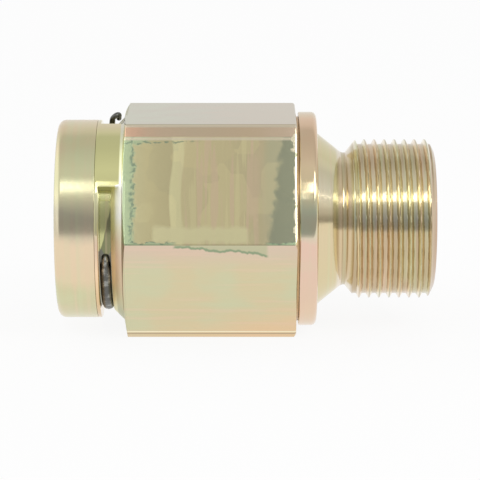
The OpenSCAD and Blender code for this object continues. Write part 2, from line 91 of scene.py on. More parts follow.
def spot(along: float, out: float, angle: float) -> Vector:
    """Place a point in the frame.

    Args:
        along: distance along the axis from the collar's face.
        out: distance from the axis.
        angle: angle above the front.

    Returns:
        The point, in metres.
    """
    turn = math.radians(angle)
    return Vector((LEFT_M + along * MM, -out * math.cos(turn) * MM, out * math.sin(turn) * MM))


def ahead(angle: float) -> Vector:
    """Return the direction from the axis at an angle."""
    return Vector((0, -math.cos(math.radians(angle)), math.sin(math.radians(angle))))


def onward(angle: float) -> Vector:
    """Return the direction round the axis at an angle, towards smaller angles."""
    return Vector((0, -math.sin(math.radians(angle)), -math.cos(math.radians(angle))))


def soft_min(first: np.ndarray, second: np.ndarray, blend: float) -> np.ndarray:
    """Take the smaller of two radii, with the edge between them rounded.

    Args:
        first: radii of one surface.
        second: radii of the other surface.
        blend: difference of radii within which the edge is rounded.

    Returns:
        The radii of the rounded surface.
    """
    share = np.clip(blend - np.abs(first - second), 0, None) / blend
    return np.minimum(first, second) - share * share * blend / 4


def rounded(corners: Sequence[Triple], steps: int = 5) -> list[Point]:
    """Round the corners of an outline.

    Args:
        corners: corners as (along, out, radius of the rounding).
        steps: points in each rounding.

    Returns:
        The outline's points as (along, out).
    """
    outline: list[Point] = []
    for index, (along, out, radius) in enumerate(corners):
        here = Vector((along, out))
        before = Vector(corners[index - 1][:2]) - here
        after = Vector(corners[(index + 1) % len(corners)][:2]) - here
        if radius <= 0:
            outline.append((along, out))
            continue
        half = before.angle(after) / 2
        reach = radius / math.tan(half)
        centre = here + (before.normalized() + after.normalized()).normalized() * radius / math.sin(half)
        start = here + before.normalized() * reach - centre
        end = here + after.normalized() * reach - centre
        sweep = start.angle(end)
        for step in range(steps):
            turn = sweep * step / (steps - 1)
            arm = (start * math.sin(sweep - turn) + end * math.sin(turn)) / math.sin(sweep)
            outline.append((centre.x + arm.x, centre.y + arm.y))
    return outline


def new_object(name: str, points: np.ndarray, faces: Sequence[Sequence[int]]) -> bpy.types.Object:
    """Make a mesh object whose faces point outwards and whose sharp edges stay sharp.

    Args:
        name: the object's name.
        points: points in metres.
        faces: faces as lists of point numbers.

    Returns:
        The object, linked to the scene.
    """
    mesh = bpy.data.meshes.new(name)
    mesh.from_pydata(points.tolist(), [], [list(face) for face in faces])
    shape = bmesh.new()
    shape.from_mesh(mesh)
    bmesh.ops.delete(shape, geom=[v for v in shape.verts if not v.link_faces], context="VERTS")
    bmesh.ops.recalc_face_normals(shape, faces=shape.faces)
    shape.to_mesh(mesh)
    shape.free()
    piece = bpy.data.objects.new(name, mesh)
    bpy.context.scene.collection.objects.link(piece)
    shade(piece)
    return piece


def shade(piece: bpy.types.Object) -> None:
    """Shade a piece smooth apart from its sharp edges, with its large faces kept true.

    Args:
        piece: the piece.
    """
    mesh = piece.data
    mesh.polygons.foreach_set("use_smooth", [True] * len(mesh.polygons))
    mesh.set_sharp_from_angle(angle=math.radians(SHARP_EDGE_DEG))
    even = piece.modifiers.new("even_shading", "WEIGHTED_NORMAL")
    even.keep_sharp = True


def carve(body: bpy.types.Object, cutters: Sequence[bpy.types.Object]) -> None:
    """Cut solids out of a piece, and delete the solids.

    Args:
        body: the piece that is cut.
        cutters: the solids.
    """
    body.modifiers.clear()
    for cutter in cutters:
        cut = body.modifiers.new(cutter.name, "BOOLEAN")
        cut.operation = "DIFFERENCE"
        cut.solver = "EXACT"
        cut.object = cutter
    graph = bpy.context.evaluated_depsgraph_get()
    mesh = bpy.data.meshes.new_from_object(body.evaluated_get(graph))
    body.modifiers.clear()
    body.data = mesh
    for cutter in cutters:
        bpy.data.objects.remove(cutter)
    shade(body)


def drill(name: str, mouth: Vector, inward: Vector, width: float, depth: float) -> bpy.types.Object:
    """Make the cutter of a round hole.

    Args:
        name: the cutter's name.
        mouth: middle of the hole's mouth, in metres.
        inward: direction of the drill.
        width: the hole's diameter.
        depth: its depth.

    Returns:
        The cutter, which starts a little outside the mouth.
    """
    spare = width * 0.4
    shape = bmesh.new()
    bmesh.ops.create_cone(
        shape,
        cap_ends=True,
        segments=32,
        radius1=width / 2 * MM,
        radius2=width / 2 * MM,
        depth=(depth + spare) * MM,
    )
    middle = mouth + inward.normalized() * (depth - spare) / 2 * MM
    shape.transform(Matrix.Translation(middle) @ inward.to_track_quat("Z", "Y").to_matrix().to_4x4())
    mesh = bpy.data.meshes.new(name)
    shape.to_mesh(mesh)
    shape.free()
    cutter = bpy.data.objects.new(name, mesh)
    bpy.context.scene.collection.objects.link(cutter)
    return cutter


@dataclass
class RingStack:
    """A closed surface made of rings round the axis, each of which may vary in radius round the turn."""

    angles: np.ndarray
    alongs: list[float] = field(default_factory=list)
    radii: list[np.ndarray] = field(default_factory=list)

    def add(self, along: float, out: float | np.ndarray) -> int:
        """Add a ring.

        Args:
            along: the ring's place.
            out: its radius, or one radius for each angle.

        Returns:
            The ring's number.
        """
        self.alongs.append(along)
        self.radii.append(np.broadcast_to(np.asarray(out, float), self.angles.shape))
        return len(self.alongs) - 1

    def add_all(self, outline: Sequence[Point]) -> list[int]:
        """Add one round ring for each point of an outline, and return their numbers."""
        return [self.add(along, out) for along, out in outline]

    def points(self) -> np.ndarray:
        """Return every ring's points in metres, ring after ring."""
        turn = np.radians(self.angles)
        along = np.repeat(np.array(self.alongs), len(turn)) * MM + LEFT_M
        out = np.array(self.radii) * MM
        across = (-out * np.cos(turn)).ravel()
        up = (out * np.sin(turn)).ravel()
        return np.column_stack((along, across, up))

    def number(self, ring: int, step: int) -> int:
        """Return the number of a ring's point at a step of the turn."""
        return ring * len(self.angles) + step % len(self.angles)

    def strips(self, loop: Sequence[int], steps: Sequence[int]) -> list[list[int]]:
        """Make the faces between the rings of a loop, whose last ring joins the first.

        Args:
            loop: ring numbers in order.
            steps: steps of the turn that get faces.

        Returns:
            The faces.
        """
        return [
            [self.number(a, i), self.number(b, i), self.number(b, i + 1), self.number(a, i + 1)]
            for i in steps
            for a, b in zip(loop, [*loop[1:], loop[0]])
        ]

    def piece(self, name: str) -> bpy.types.Object:
        """Make one closed piece of all the rings in order."""
        faces = self.strips(range(len(self.alongs)), range(len(self.angles)))
        return new_object(name, self.points(), faces)


def even_turn(count: int) -> np.ndarray:
    """Return evenly spaced angles over a full turn."""
    return np.arange(count) * 360 / count


@dataclass(frozen=True)
class ScrewThread:
    """A V-thread cut into a round wall."""

    pitch: float
    crest_r: float
    depth: float
    flank_deg: float
    crest_flat: float
    start: float
    outside: bool = True

    def radii(self, along: float, angles: np.ndarray) -> np.ndarray:
        """Give the thread's radius at a place, all round the turn.

        Args:
            along: place along the axis.
            angles: angles above the front.

        Returns:
            One radius for each angle.
        """
        turns = (along - self.start) / self.pitch + (angles - 90) / 360
        share = turns - np.round(turns)
        off_crest = np.abs(share) * self.pitch - self.crest_flat / 2
        drop = np.clip(off_crest / math.tan(math.radians(self.flank_deg)), 0, self.depth)
        return self.crest_r - drop if self.outside else self.crest_r + drop


Socket = bpy.types.NodeSocket


@dataclass(frozen=True)
class Pattern:
    """A number or colour that varies over a surface: the output of a node."""

    graph: "Graph"
    socket: Socket

    def __add__(self, other: "Value") -> "Pattern":
        """Return the sum of two numbers."""
        return self.graph.math("ADD", self, other)

    def __sub__(self, other: "Value") -> "Pattern":
        """Return the difference of two numbers."""
        return self.graph.math("SUBTRACT", self, other)

    def __rsub__(self, other: float) -> "Pattern":
        """Return what a number lacks to another."""
        return self.graph.math("SUBTRACT", other, self)

    def __mul__(self, other: "Value") -> "Pattern":
        """Return the product of two numbers."""
        return self.graph.math("MULTIPLY", self, other)

    def __or__(self, other: "Value") -> "Pattern":
        """Return the larger of two numbers."""
        return self.graph.math("MAXIMUM", self, other)

    def step(self, low: float, high: float, bottom: float = 0, top: float = 1) -> "Pattern":
        """Return a smooth rise while the number goes from low to high.

        Args:
            low: number at which the rise starts.
            high: number at which it ends.
            bottom: what it rises from.
            top: what it rises to.

        Returns:
            The rise.
        """
        node = self.graph.node("ShaderNodeMapRange", interpolation_type="SMOOTHSTEP")
        self.graph.feed(node.inputs["Value"], self)
        for name, number in (("From Min", low), ("From Max", high), ("To Min", bottom), ("To Max", top)):
            node.inputs[name].default_value = number
        return Pattern(self.graph, node.outputs["Result"])

    def band(self, low: float, high: float, blur: float) -> "Pattern":
        """Return 1 where the number lies between two others and 0 elsewhere, with blurred ends."""
        return self.step(low - blur, low + blur) * self.step(high + blur, high - blur)

    def ramp(self, stops: "Tints") -> "Pattern":
        """Return the colour that belongs to the number.

        Args:
            stops: numbers in rising order, each with its colour.

        Returns:
            The colour, blended between the two nearest stops.
        """
        low, high = stops[0][0], stops[-1][0]
        node = self.graph.node("ShaderNodeValToRGB")
        elements = node.color_ramp.elements
        for at, colour in stops[1:-1]:
            elements.new((at - low) / (high - low)).color = (*colour, 1)
        elements[0].color = (*stops[0][1], 1)
        elements[-1].color = (*stops[-1][1], 1)
        self.graph.feed(node.inputs["Fac"], (self - low) * (1 / (high - low)))
        return Pattern(self.graph, node.outputs["Color"])

    def under(self, share: "Value", colour: "Pattern | Colour") -> "Pattern":
        """Return this colour with a share of another laid over it."""
        return self.graph.mix(share, self, colour)


Value = float | Pattern


class Graph:
    """A tree of shader nodes, for a material or the world."""

    def __init__(self, tree: bpy.types.NodeTree) -> None:
        """Start with an empty tree."""
        self.tree = tree
        self.tree.nodes.clear()

    def node(self, kind: str, **values: str) -> bpy.types.Node:
        """Add a node and set its choices.

        Args:
            kind: the node's type.
            values: its choices by name.

        Returns:
            The node.
        """
        made = self.tree.nodes.new(kind)
        for name, value in values.items():
            setattr(made, name, value)
        return made

    def feed(self, socket: Socket, value: Value | Colour) -> None:
        """Link a socket to a pattern, or set its number or colour.

        Args:
            socket: the socket.
            value: what goes into it.
        """
        if isinstance(value, Pattern):
            self.tree.links.new(value.socket, socket)
        elif isinstance(value, tuple):
            socket.default_value = (*value, 1)
        else:
            socket.default_value = value

    def math(self, operation: str, first: Value, second: Value = 0.0) -> Pattern:
        """Work out a number for each point of the surface.

        Args:
            operation: the math node's operation.
            first: its first number.
            second: its second number, where it has one.

        Returns:
            The result.
        """
        node = self.node("ShaderNodeMath", operation=operation)
        self.feed(node.inputs[0], first)
        self.feed(node.inputs[1], second)
        return Pattern(self, node.outputs[0])

    def mix(self, share: Value, first: Pattern | Colour, second: Pattern | Colour) -> Pattern:
        """Return a blend of two colours.

        Args:
            share: the second one's share.
            first: the first colour.
            second: the second colour.

        Returns:
            The blend.
        """
        node = self.node("ShaderNodeMix", data_type="RGBA")
        for socket, value in zip((node.inputs["Factor"], *node.inputs[6:8]), (share, first, second)):
            self.feed(socket, value)
        return Pattern(self, node.outputs[2])

    def where(self, kind: str = "Object") -> Pattern:
        """Return the point on the surface, or for the world its direction."""
        return Pattern(self, self.node("ShaderNodeTexCoord").outputs[kind])

    def split(self, vector: Pattern) -> tuple[Pattern, ...]:
        """Return the three parts of a vector.

        Args:
            vector: the vector.

        Returns:
            Its x, y and z, or the red, green and blue of a colour.
        """
        node = self.node("ShaderNodeSeparateXYZ")
        self.feed(node.inputs[0], vector)
        return tuple(Pattern(self, part) for part in node.outputs)

    def place(self, stretch: Triple = (1, 1, 1), shift: Triple = (0, 0, 0)) -> Pattern:
        """Return the point on the piece in millimetres, stretched and shifted.

        Args:
            stretch: factor for each direction.
            shift: what is added in each direction.

        Returns:
            The point.
        """
        node = self.node("ShaderNodeMapping")
        node.inputs["Scale"].default_value = [s / MM for s in stretch]
        node.inputs["Location"].default_value = shift
        self.feed(node.inputs["Vector"], self.where())
        return Pattern(self, node.outputs["Vector"])

    def turn(self, y: Pattern, z: Pattern) -> Pattern:
        """Return the angle above the front, in degrees."""
        return self.math("ARCTAN2", z, y * -1) * (180 / math.pi)

    def around(self) -> tuple[Pattern, Pattern, Pattern]:
        """Return the place along the axis, the angle above the front and the distance from the axis."""
        x, y, z = self.split(self.place())
        return x, self.turn(y, z), self.math("SQRT", y * y + z * z)

    def noise(self, stretch: Triple, detail: float, rough: float = 0.5, shift: Triple = (0, 0, 0)) -> Pattern:
        """Return a cloud pattern from 0 to 1.

        Args:
            stretch: clouds per millimetre in each direction.
            detail: how many finer layers it has.
            rough: how strong they are.
            shift: where the pattern starts.

        Returns:
            The pattern.
        """
        node = self.node("ShaderNodeTexNoise")
        for name, number in (("Scale", 1.0), ("Detail", detail), ("Roughness", rough)):
            node.inputs[name].default_value = number
        self.feed(node.inputs["Vector"], self.place(stretch, shift))
        return Pattern(self, node.outputs["Fac"])

    def cells(self, stretch: Triple, shift: Triple) -> Pattern:
        """Return a random number from 0 to 1 for each cell of a patchwork with straight sides.

        Args:
            stretch: cells per millimetre in each direction.
            shift: where the pattern starts.

        Returns:
            The number.
        """
        node = self.node("ShaderNodeTexVoronoi", distance="CHEBYCHEV")
        node.inputs["Scale"].default_value = 1.0
        self.feed(node.inputs["Vector"], self.place(stretch, shift))
        return self.split(Pattern(self, node.outputs["Color"]))[0]

    def bump(self, height: Pattern, depth_mm: float, strength: float) -> Pattern:
        """Return a surface direction with small hills and pits.

        Args:
            height: pattern from 0 to 1.
            depth_mm: its depth.
            strength: how much of it shows.

        Returns:
            The surface direction.
        """
        node = self.node("ShaderNodeBump")
        node.inputs["Strength"].default_value = strength
        node.inputs["Distance"].default_value = depth_mm * MM
        self.feed(node.inputs["Height"], height)
        return Pattern(self, node.outputs["Normal"])

    def seen_by(self, ray: str) -> Pattern:
        """Return 1 for a kind of ray and 0 for all others."""
        return Pattern(self, self.node("ShaderNodeLightPath").outputs[f"Is {ray} Ray"])

    def glow(self, kind: str, colour: Pattern | Colour) -> Socket:
        """Add a shader that only shines.

        Args:
            kind: the node's type, an emission or a background.
            colour: its colour.

        Returns:
            The shader's output.
        """
        node = self.node(kind)
        self.feed(node.inputs["Color"], colour)
        return node.outputs[0]

    def show(self, output: bpy.types.Node, share: Pattern, first: Socket, second: Socket) -> None:
        """Show a blend of two shaders.

        Args:
            output: the tree's output node.
            share: the second one's share.
            first: output of the first shader.
            second: output of the second shader.
        """
        node = self.node("ShaderNodeMixShader")
        self.feed(node.inputs["Fac"], share)
        self.tree.links.new(first, node.inputs[1])
        self.tree.links.new(second, node.inputs[2])
        self.tree.links.new(node.outputs[0], output.inputs["Surface"])


class SurfaceGraph(Graph):
    """The shader nodes of one material."""

    def __init__(self, name: str) -> None:
        """Start an empty material with an output and a main shader.

        Args:
            name: the material's name.
        """
        self.material = bpy.data.materials.new(name)
        self.material.use_nodes = True
        super().__init__(self.material.node_tree)
        self.output = self.node("ShaderNodeOutputMaterial")
        self.shader = self.node("ShaderNodeBsdfPrincipled")
        self.tree.links.new(self.shader.outputs["BSDF"], self.output.inputs["Surface"])

    def set(self, **values: Value | Colour) -> None:
        """Set the main shader's sockets, named with _ for a space."""
        for name, value in values.items():
            self.feed(self.shader.inputs[name.replace("_", " ")], value)


GOLD = (0.74, 0.65, 0.42)
LIME = (0.76, 0.74, 0.36)


@dataclass(frozen=True)
class YellowZinc:
    """Yellow passivated zinc plating, with the faint green and rose that the film gives."""

    name: str
    slot: str
    grain: Grain = Grain.TURNED
    tints: Tints = ((-180, (0.72, 0.65, 0.42)), (180, (0.72, 0.65, 0.42)))
    green: Colour = (0.66, 0.72, 0.45)
    rose: Colour = (0.84, 0.62, 0.45)
    roughness: float = 0.10
    mottle: float = 0.02
    relief: float = 0.3
    shift: float = 0.0
    drift: float = 0.35

    def seed(self) -> Triple:
        """Return where the clouds of this plating start."""
        return (self.shift, self.shift * 0.7, -self.shift)

    def film(self, g: Graph) -> Pattern:
        """Build the film's colour: a tint for each side, with clouds of green and rose.

        Args:
            g: the material's graph.

        Returns:
            The colour.
        """
        turn = g.around()[1]
        wander = g.noise((0.15, 0.12, 0.12), 2, shift=self.seed())
        colour = (turn + wander.step(0.3, 0.7, -2.5, 2.5)).ramp(self.tints)
        patches = g.noise((0.09, 0.14, 0.14), 2, shift=self.seed())
        blush = g.noise((0.11, 0.10, 0.10), 2, shift=(7 + self.shift, 3, 5))
        colour = colour.under(patches.step(0.45, 0.66, 0, self.drift), self.green)
        return colour.under(blush.step(0.46, 0.66, 0, self.drift), self.rose)

    def streaked(self, g: Graph, colour: Pattern) -> Pattern:
        """Draw the faint lines that the tool left.

        Args:
            g: the material's graph.
            colour: the film's colour.

        Returns:
            The colour with its lines.
        """
        stretch = (1.7, 0.02, 0.02) if self.grain is Grain.TURNED else (0.05, 0.9, 0.9)
        lines = g.noise(stretch, 3, shift=self.seed())
        colour = colour.under(lines.step(0.5, 0.72, 0, 0.25), self.rose)
        return colour.under(lines.step(0.5, 0.28, 0, 0.25), self.green)

    def gloss(self, g: Graph) -> Pattern:
        """Return the roughness with a slight mottle."""
        cloud = g.noise((2.5, 2.5, 2.5), 4, 0.6)
        return cloud.step(0.3, 0.7, -self.mottle, 2 * self.mottle) + self.roughness

    def material(self) -> bpy.types.Material:
        """Build the material."""
        g = SurfaceGraph(self.name)
        colour = self.streaked(g, self.film(g))
        fine = g.noise((14, 0.3, 0.3) if self.grain is Grain.TURNED else (0.25, 9, 9), 2)
        normal = g.bump(fine, 0.004, self.relief)
        g.set(Base_Color=colour, Metallic=1.0, Roughness=self.gloss(g), Normal=normal)
        return g.material


@dataclass(frozen=True)
class CollarZinc(YellowZinc):
    """The plating on the collar, duller in the groove that the locking wire lies in, with shade painted into
    that groove.
    """

    # Tints round the turn: the darker stops from 3° to 14° are a painted dark reflection band, and the paler
    # stop at 26° is a painted highlight.
    tints: Tints = (
        (-180, GOLD),
        (-80, GOLD),
        (-50, (0.66, 0.62, 0.39)),
        (-34, (0.68, 0.62, 0.39)),
        (-24, (0.80, 0.65, 0.44)),
        (-2, (0.82, 0.66, 0.46)),
        (3, (0.66, 0.58, 0.42)),
        (14, (0.62, 0.57, 0.42)),
        (26, (0.80, 0.75, 0.48)),
        (36, (0.70, 0.68, 0.42)),
        (64, (0.72, 0.66, 0.40)),
        (78, (0.71, 0.62, 0.37)),
        (120, GOLD),
        (180, GOLD),
    )
    roughness: float = 0.19
    shift: float = 11
    groove_x: Span = (-21.515, -19.665)
    groove_r: float = 13.0
    dull: Colour = (0.58, 0.58, 0.28)
    # Painted shadow: a dark wedge painted along the groove's right wall.
    painted_shadow: Colour = (0.22, 0.23, 0.12)
    painted_shadow_deg: Span = (-13, 17)
    painted_shadow_w: float = 1.1
    painted_shadow_lean: float = 0.05
    # Painted shade: dark grey painted on the groove floor round the wire.
    painted_shade: Colour = (0.17, 0.17, 0.14)
    painted_shade_deg: Span = (-75, -10.5)

    def film(self, g: Graph) -> Pattern:
        """Build the film's colour, with painted shade round the wire and a painted shadow along the right
        wall, in the front half of the groove.

        Args:
            g: the material's graph.

        Returns:
            The colour.
        """
        x, turn, out = g.around()
        low, high = self.groove_x
        inside = x.band(low, high, 0.05) * out.step(self.groove_r + 0.05, self.groove_r - 0.05)
        turn = turn + g.noise((1.2, 0.25, 0.25), 3, shift=(4, 2, 1)).step(0.3, 0.7, -3, 3)
        edge = high - self.painted_shadow_w
        # Painted shadow along the right wall, then painted shade round the wire, over the groove floor's own
        # olive.
        shadow_wedge = turn.band(*self.painted_shadow_deg, 1.5) * (turn * -self.painted_shadow_lean + x).step(edge - 0.1, edge + 0.1)
        ground = g.mix(shadow_wedge, self.dull, self.painted_shadow).under(turn.band(*self.painted_shade_deg, 1.0), self.painted_shade)
        return super().film(g).under(inside, ground)


@dataclass(frozen=True)
class ThreadZinc(YellowZinc):
    """The plating on the stem, with a tint of its own on shoulder, neck, waist and thread."""

    tints: Tints = (
        (-180, GOLD),
        (-50, (0.80, 0.60, 0.44)),
        (0, (0.80, 0.57, 0.46)),
        (7, (0.64, 0.68, 0.50)),
        (18, (0.66, 0.70, 0.50)),
        (28, (0.80, 0.68, 0.42)),
        (44, (0.76, 0.58, 0.38)),
        (80, (0.80, 0.56, 0.38)),
        (180, GOLD),
    )
    # The neck's pale stop at 34° is a painted highlight.
    neck: Tints = (
        (-180, (0.76, 0.64, 0.40)),
        (-50, (0.73, 0.63, 0.38)),
        (0, (0.73, 0.61, 0.39)),
        (12, (0.72, 0.60, 0.37)),
        (34, (0.92, 0.84, 0.62)),
        (60, (0.72, 0.65, 0.39)),
        (180, (0.76, 0.64, 0.40)),
    )
    # The root's pale stop at 26° is a painted highlight.
    root: Tints = (
        (-180, (0.57, 0.46, 0.28)),
        (-40, (0.54, 0.42, 0.26)),
        (0, (0.54, 0.42, 0.27)),
        (12, (0.58, 0.54, 0.43)),
        (26, (0.86, 0.80, 0.57)),
        (60, (0.57, 0.47, 0.30)),
        (180, (0.57, 0.46, 0.28)),
    )
    flank: Colour = (0.98, 0.88, 0.68)
    crest: Colour = (0.48, 0.42, 0.26)
    # Painted light: the waist is painted paler to lift the shade it lies in.
    waist: Colour = (0.84, 0.75, 0.60)
    # Painted shade: the waist's flat floor is painted darker.
    waist_floor_shade: Colour = (0.58, 0.47, 0.29)
    rust: Colour = (0.48, 0.31, 0.19)
    shift: float = 23
    relief: float = 0.12
    root_r: float = 11.25
    crest_r: float = 11.72
    neck_x: float = 10.4
    waist_x: float = 14.0
    thread_x: float = 16.4
    end_x: float = 26.95

    def film(self, g: Graph) -> Pattern:
        """Build the film's colour for shoulder, neck, waist and thread, with painted highlights on neck and
        thread roots and painted light and shade at the waist.

        Args:
            g: the material's graph.

        Returns:
            The colour.
        """
        x, turn, out = g.around()
        thread = turn.ramp(self.root).under(out.step(self.root_r, self.root_r + 0.2, 0, 0.85), self.flank)
        thread = thread.under(out.step(self.crest_r, self.crest_r + 0.14, 0, 0.8), self.crest)
        stripes = g.noise((0.9, 0.05, 0.05), 1, shift=(1, 4, 2))
        thread = thread.under(stripes.step(0.52, 0.66, 0, 0.4), self.rose)
        thread = thread.under(stripes.step(0.48, 0.34, 0, 0.35), self.green)
        colour = super().film(g).under(x.step(self.neck_x - 0.1, self.neck_x + 0.1), turn.ramp(self.neck))
        # Painted light over the waist, then painted shade on its floor.
        colour = colour.under(x.band(self.waist_x - 0.6, self.thread_x - 0.2, 0.3), self.waist)
        colour = colour.under(x.band(self.waist_x + 0.05, self.waist_x + 0.75, 0.1), self.waist_floor_shade)
        colour = colour.under(x.step(self.thread_x - 1.2, self.thread_x - 0.6), thread)
        return colour.under(x.step(self.end_x, self.end_x + 0.2, 0, 0.7), self.rust)

    def gloss(self, g: Graph) -> Pattern:
        """Return the roughness, higher from the waist on, where the film is thicker in the thread."""
        x = g.around()[0]
        return super().gloss(g) + x.step(self.waist_x - 0.6, self.waist_x + 0.4, 0, 0.06)


@dataclass(frozen=True)
class HexagonZinc(YellowZinc):
    """The plating on the hexagon, whose film has a tint of its own on each face and along the edges, with
    painted highlights and reflections among them.
    """

    grain: Grain = Grain.DRAWN
    roughness: float = 0.08
    mottle: float = 0.004
    relief: float = 0.1
    teal: Colour = (0.54, 0.66, 0.41)
    deep_teal: Colour = (0.27, 0.36, 0.25)
    slate: Colour = (0.37, 0.39, 0.27)
    straw: Colour = (0.86, 0.78, 0.44)
    panel: Colour = (0.86, 0.80, 0.47)
    # Painted glints: ridge_glint under the top strip, right_edge_glint along the right end.
    ridge_glint: Colour = (0.88, 0.78, 0.58)
    top_edge: Colour = (0.74, 0.65, 0.49)
    right_edge_glint: Colour = (0.98, 0.90, 0.64)
    under_olive: Colour = (0.69, 0.60, 0.38)
    under_green: Colour = (0.62, 0.64, 0.42)
    under_rose: Colour = (0.73, 0.55, 0.45)
    peach: Colour = (0.82, 0.57, 0.35)
    line_green: Colour = (0.60, 0.66, 0.44)
    line_rose: Colour = (0.84, 0.58, 0.46)
    spill: Colour = (0.55, 0.53, 0.35)
    spill_edge: Colour = (0.30, 0.37, 0.23)
    low_shade: Colour = (0.52, 0.40, 0.26)
    low_glint: Colour = (0.96, 0.88, 0.62)
    # Rim, foot and cone hold painted light: their pale stops from about 6° to 31° are a painted highlight,
    # and the pale stops below the front are a painted reflection of the table.
    rim: Tints = (
        (-180, LIME),
        (-60, (0.72, 0.52, 0.30)),
        (-40, (0.80, 0.57, 0.33)),
        (-20, (0.94, 0.70, 0.47)),
        (-3, (0.72, 0.55, 0.41)),
        (2, (0.72, 0.60, 0.42)),
        (6, (0.95, 0.90, 0.52)),
        (28, (0.95, 0.93, 0.60)),
        (31, LIME),
        (66, (0.74, 0.72, 0.36)),
        (78, (0.74, 0.64, 0.40)),
        (180, LIME),
    )
    foot: Tints = (
        (-180, LIME),
        (-60, (0.80, 0.76, 0.46)),
        (-40, (0.92, 0.88, 0.60)),
        (-30, (0.97, 0.84, 0.62)),
        (-10, (0.95, 0.88, 0.64)),
        (0, (0.86, 0.84, 0.56)),
        (10, (0.80, 0.78, 0.54)),
        (29, (0.94, 0.90, 0.64)),
        (31.5, LIME),
        (66, (0.74, 0.72, 0.36)),
        (78, (0.74, 0.64, 0.40)),
        (180, LIME),
    )
    cone: Tints = (
        (-180, (0.80, 0.77, 0.60)),
        (-55, (0.50, 0.50, 0.30)),
        (-40, (0.64, 0.58, 0.36)),
        (-28, (0.76, 0.62, 0.43)),
        (-10, (0.80, 0.67, 0.53)),
        (-2, (0.86, 0.78, 0.60)),
        (6, (0.96, 0.92, 0.76)),
        (13, (1.0, 1.0, 1.0)),
        (31, (1.0, 1.0, 0.98)),
        (40, (0.90, 0.89, 0.66)),
        (48, (0.80, 0.82, 0.52)),
        (60, (0.60, 0.62, 0.40)),
        (75, (0.68, 0.65, 0.50)),
        (110, (0.80, 0.77, 0.60)),
        (180, (0.80, 0.77, 0.60)),
    )
    top: Tints = (
        (-18, (0.56, 0.55, 0.40)),
        (-9, (0.56, 0.51, 0.38)),
        (0, (0.59, 0.50, 0.37)),
        (8, (0.59, 0.51, 0.38)),
    )
    # The pale stops from -11.0 to -9.3 are a painted reflection: a bright band across the face.
    front: Tints = (
        (-17.5, (0.68, 0.63, 0.37)),
        (-14.0, (0.72, 0.64, 0.36)),
        (-11.3, (0.68, 0.60, 0.34)),
        (-11.0, (0.90, 0.83, 0.47)),
        (-9.3, (0.88, 0.81, 0.46)),
        (-8.9, (0.77, 0.67, 0.38)),
        (-2.0, (0.74, 0.64, 0.37)),
        (2.0, (0.69, 0.60, 0.36)),
        (4.0, (0.64, 0.60, 0.38)),
    )
    strip: Tints = (
        (-17.8, (0.76, 0.50, 0.34)),
        (-16.5, (0.74, 0.49, 0.34)),
        (-13, (0.69, 0.53, 0.37)),
        (-8, (0.68, 0.55, 0.38)),
        (0, (0.70, 0.55, 0.37)),
        (6, (0.74, 0.58, 0.42)),
    )
    face_x: Span = (-17.9, 7.39)
    rim_x: float = -21.4
    cone_x: float = -19.05
    web_deg: Span = (31.5, 84.0)
    web_reach: float = 0.55
    spill_x: Span = (-10.4, 3.0)
    spill_lean: float = 0.124
    spill_up: float = 7.9
    panel_up: Span = (-8.9, -6.5)
    panel_x: Span = (-13.4, 0.6)
    strip_up: Span = (7.25, 8.7)
    half_side: float = 9.24

    def film(self, g: Graph) -> Pattern:
        """Build the film's colour: the front and top faces, then cone, foot and rim.

        Args:
            g: the material's graph.

        Returns:
            The colour.
        """
        x, y, z = g.split(g.place())
        turn = g.turn(y, z)
        lean, rise = math.cos(math.radians(60)), math.sin(math.radians(60))
        colour = super().film(g).under(turn.band(60, 120, 0.4), self.top_film(g, x))
        colour = colour.under(turn.band(0, 60, 0.3), self.front_film(g, x, y * lean + z * rise))
        colour = colour.under(turn.band(-60, 0, 0.3), self.under_film(g, x, y * -lean + z * rise))
        colour = colour.under(x.step(self.face_x[0] + 0.05, self.face_x[0] - 0.05), turn.ramp(self.cone))
        from_cone = x - turn.band(*self.web_deg, 0.5) * self.web_reach
        colour = colour.under(from_cone.step(self.cone_x + 0.15, self.cone_x - 0.15), turn.ramp(self.foot))
        return colour.under(x.step(self.rim_x + 0.1, self.rim_x - 0.1), turn.ramp(self.rim))

    def gloss(self, g: Graph) -> Pattern:
        """Return the roughness, which is higher on the cone beside the slot.

        Args:
            g: the material's graph.

        Returns:
            The roughness.
        """
        x, turn = g.around()[:2]
        on_cone = x.band(self.rim_x, self.face_x[0] + 0.3, 0.1)
        return super().gloss(g) + (1 - turn.band(*self.web_deg, 0.5)) * on_cone * 0.3

    def streaked(self, g: Graph, colour: Pattern) -> Pattern:
        """Return the colour as it is, because the ground faces show no lines of their own."""
        return colour

    def top_film(self, g: Graph, x: Pattern) -> Pattern:
        """Return the top face's colour: grey beige, greener at the left and pinker at the right."""
        return (x + g.noise((0.2, 0.3, 0.3), 2).step(0.3, 0.7, -5, 5)).ramp(self.top)

    def front_film(self, g: Graph, x: Pattern, up: Pattern) -> Pattern:
        """Return the upper front face's colour.

        Args:
            g: the material's graph.
            x: place along the axis.
            up: place up the face, 0 at its middle.

        Returns:
            Olive with straw panels, rose streaks that are painted reflections, teal edges, a brown strip on
            top with a painted glint line under it, and a painted glint along the right edge.
        """
        waves = g.noise((0.55, 0.55, 0.55), 4, 0.6) - 0.5
        along = x + (g.noise((0.5, 0.1, 0.1), 1) - 0.5) * 3.0
        wavy_x, wavy_up = x + waves * 2.6, up + waves * 1.6
        right = self.face_x[1]
        colour = self.panelled(g, x, along)
        colour = colour.under((wavy_x + up * -0.12).step(right - 3.5, right - 2.5, 0, 0.9), self.slate)
        panel = wavy_up.band(*self.panel_up, 0.5) * along.band(*self.panel_x, 0.5)
        colour = colour.under(panel * 0.9, self.panel)
        colour = self.edged(g, x, wavy_x, wavy_up, colour)
        low, high = self.strip_up
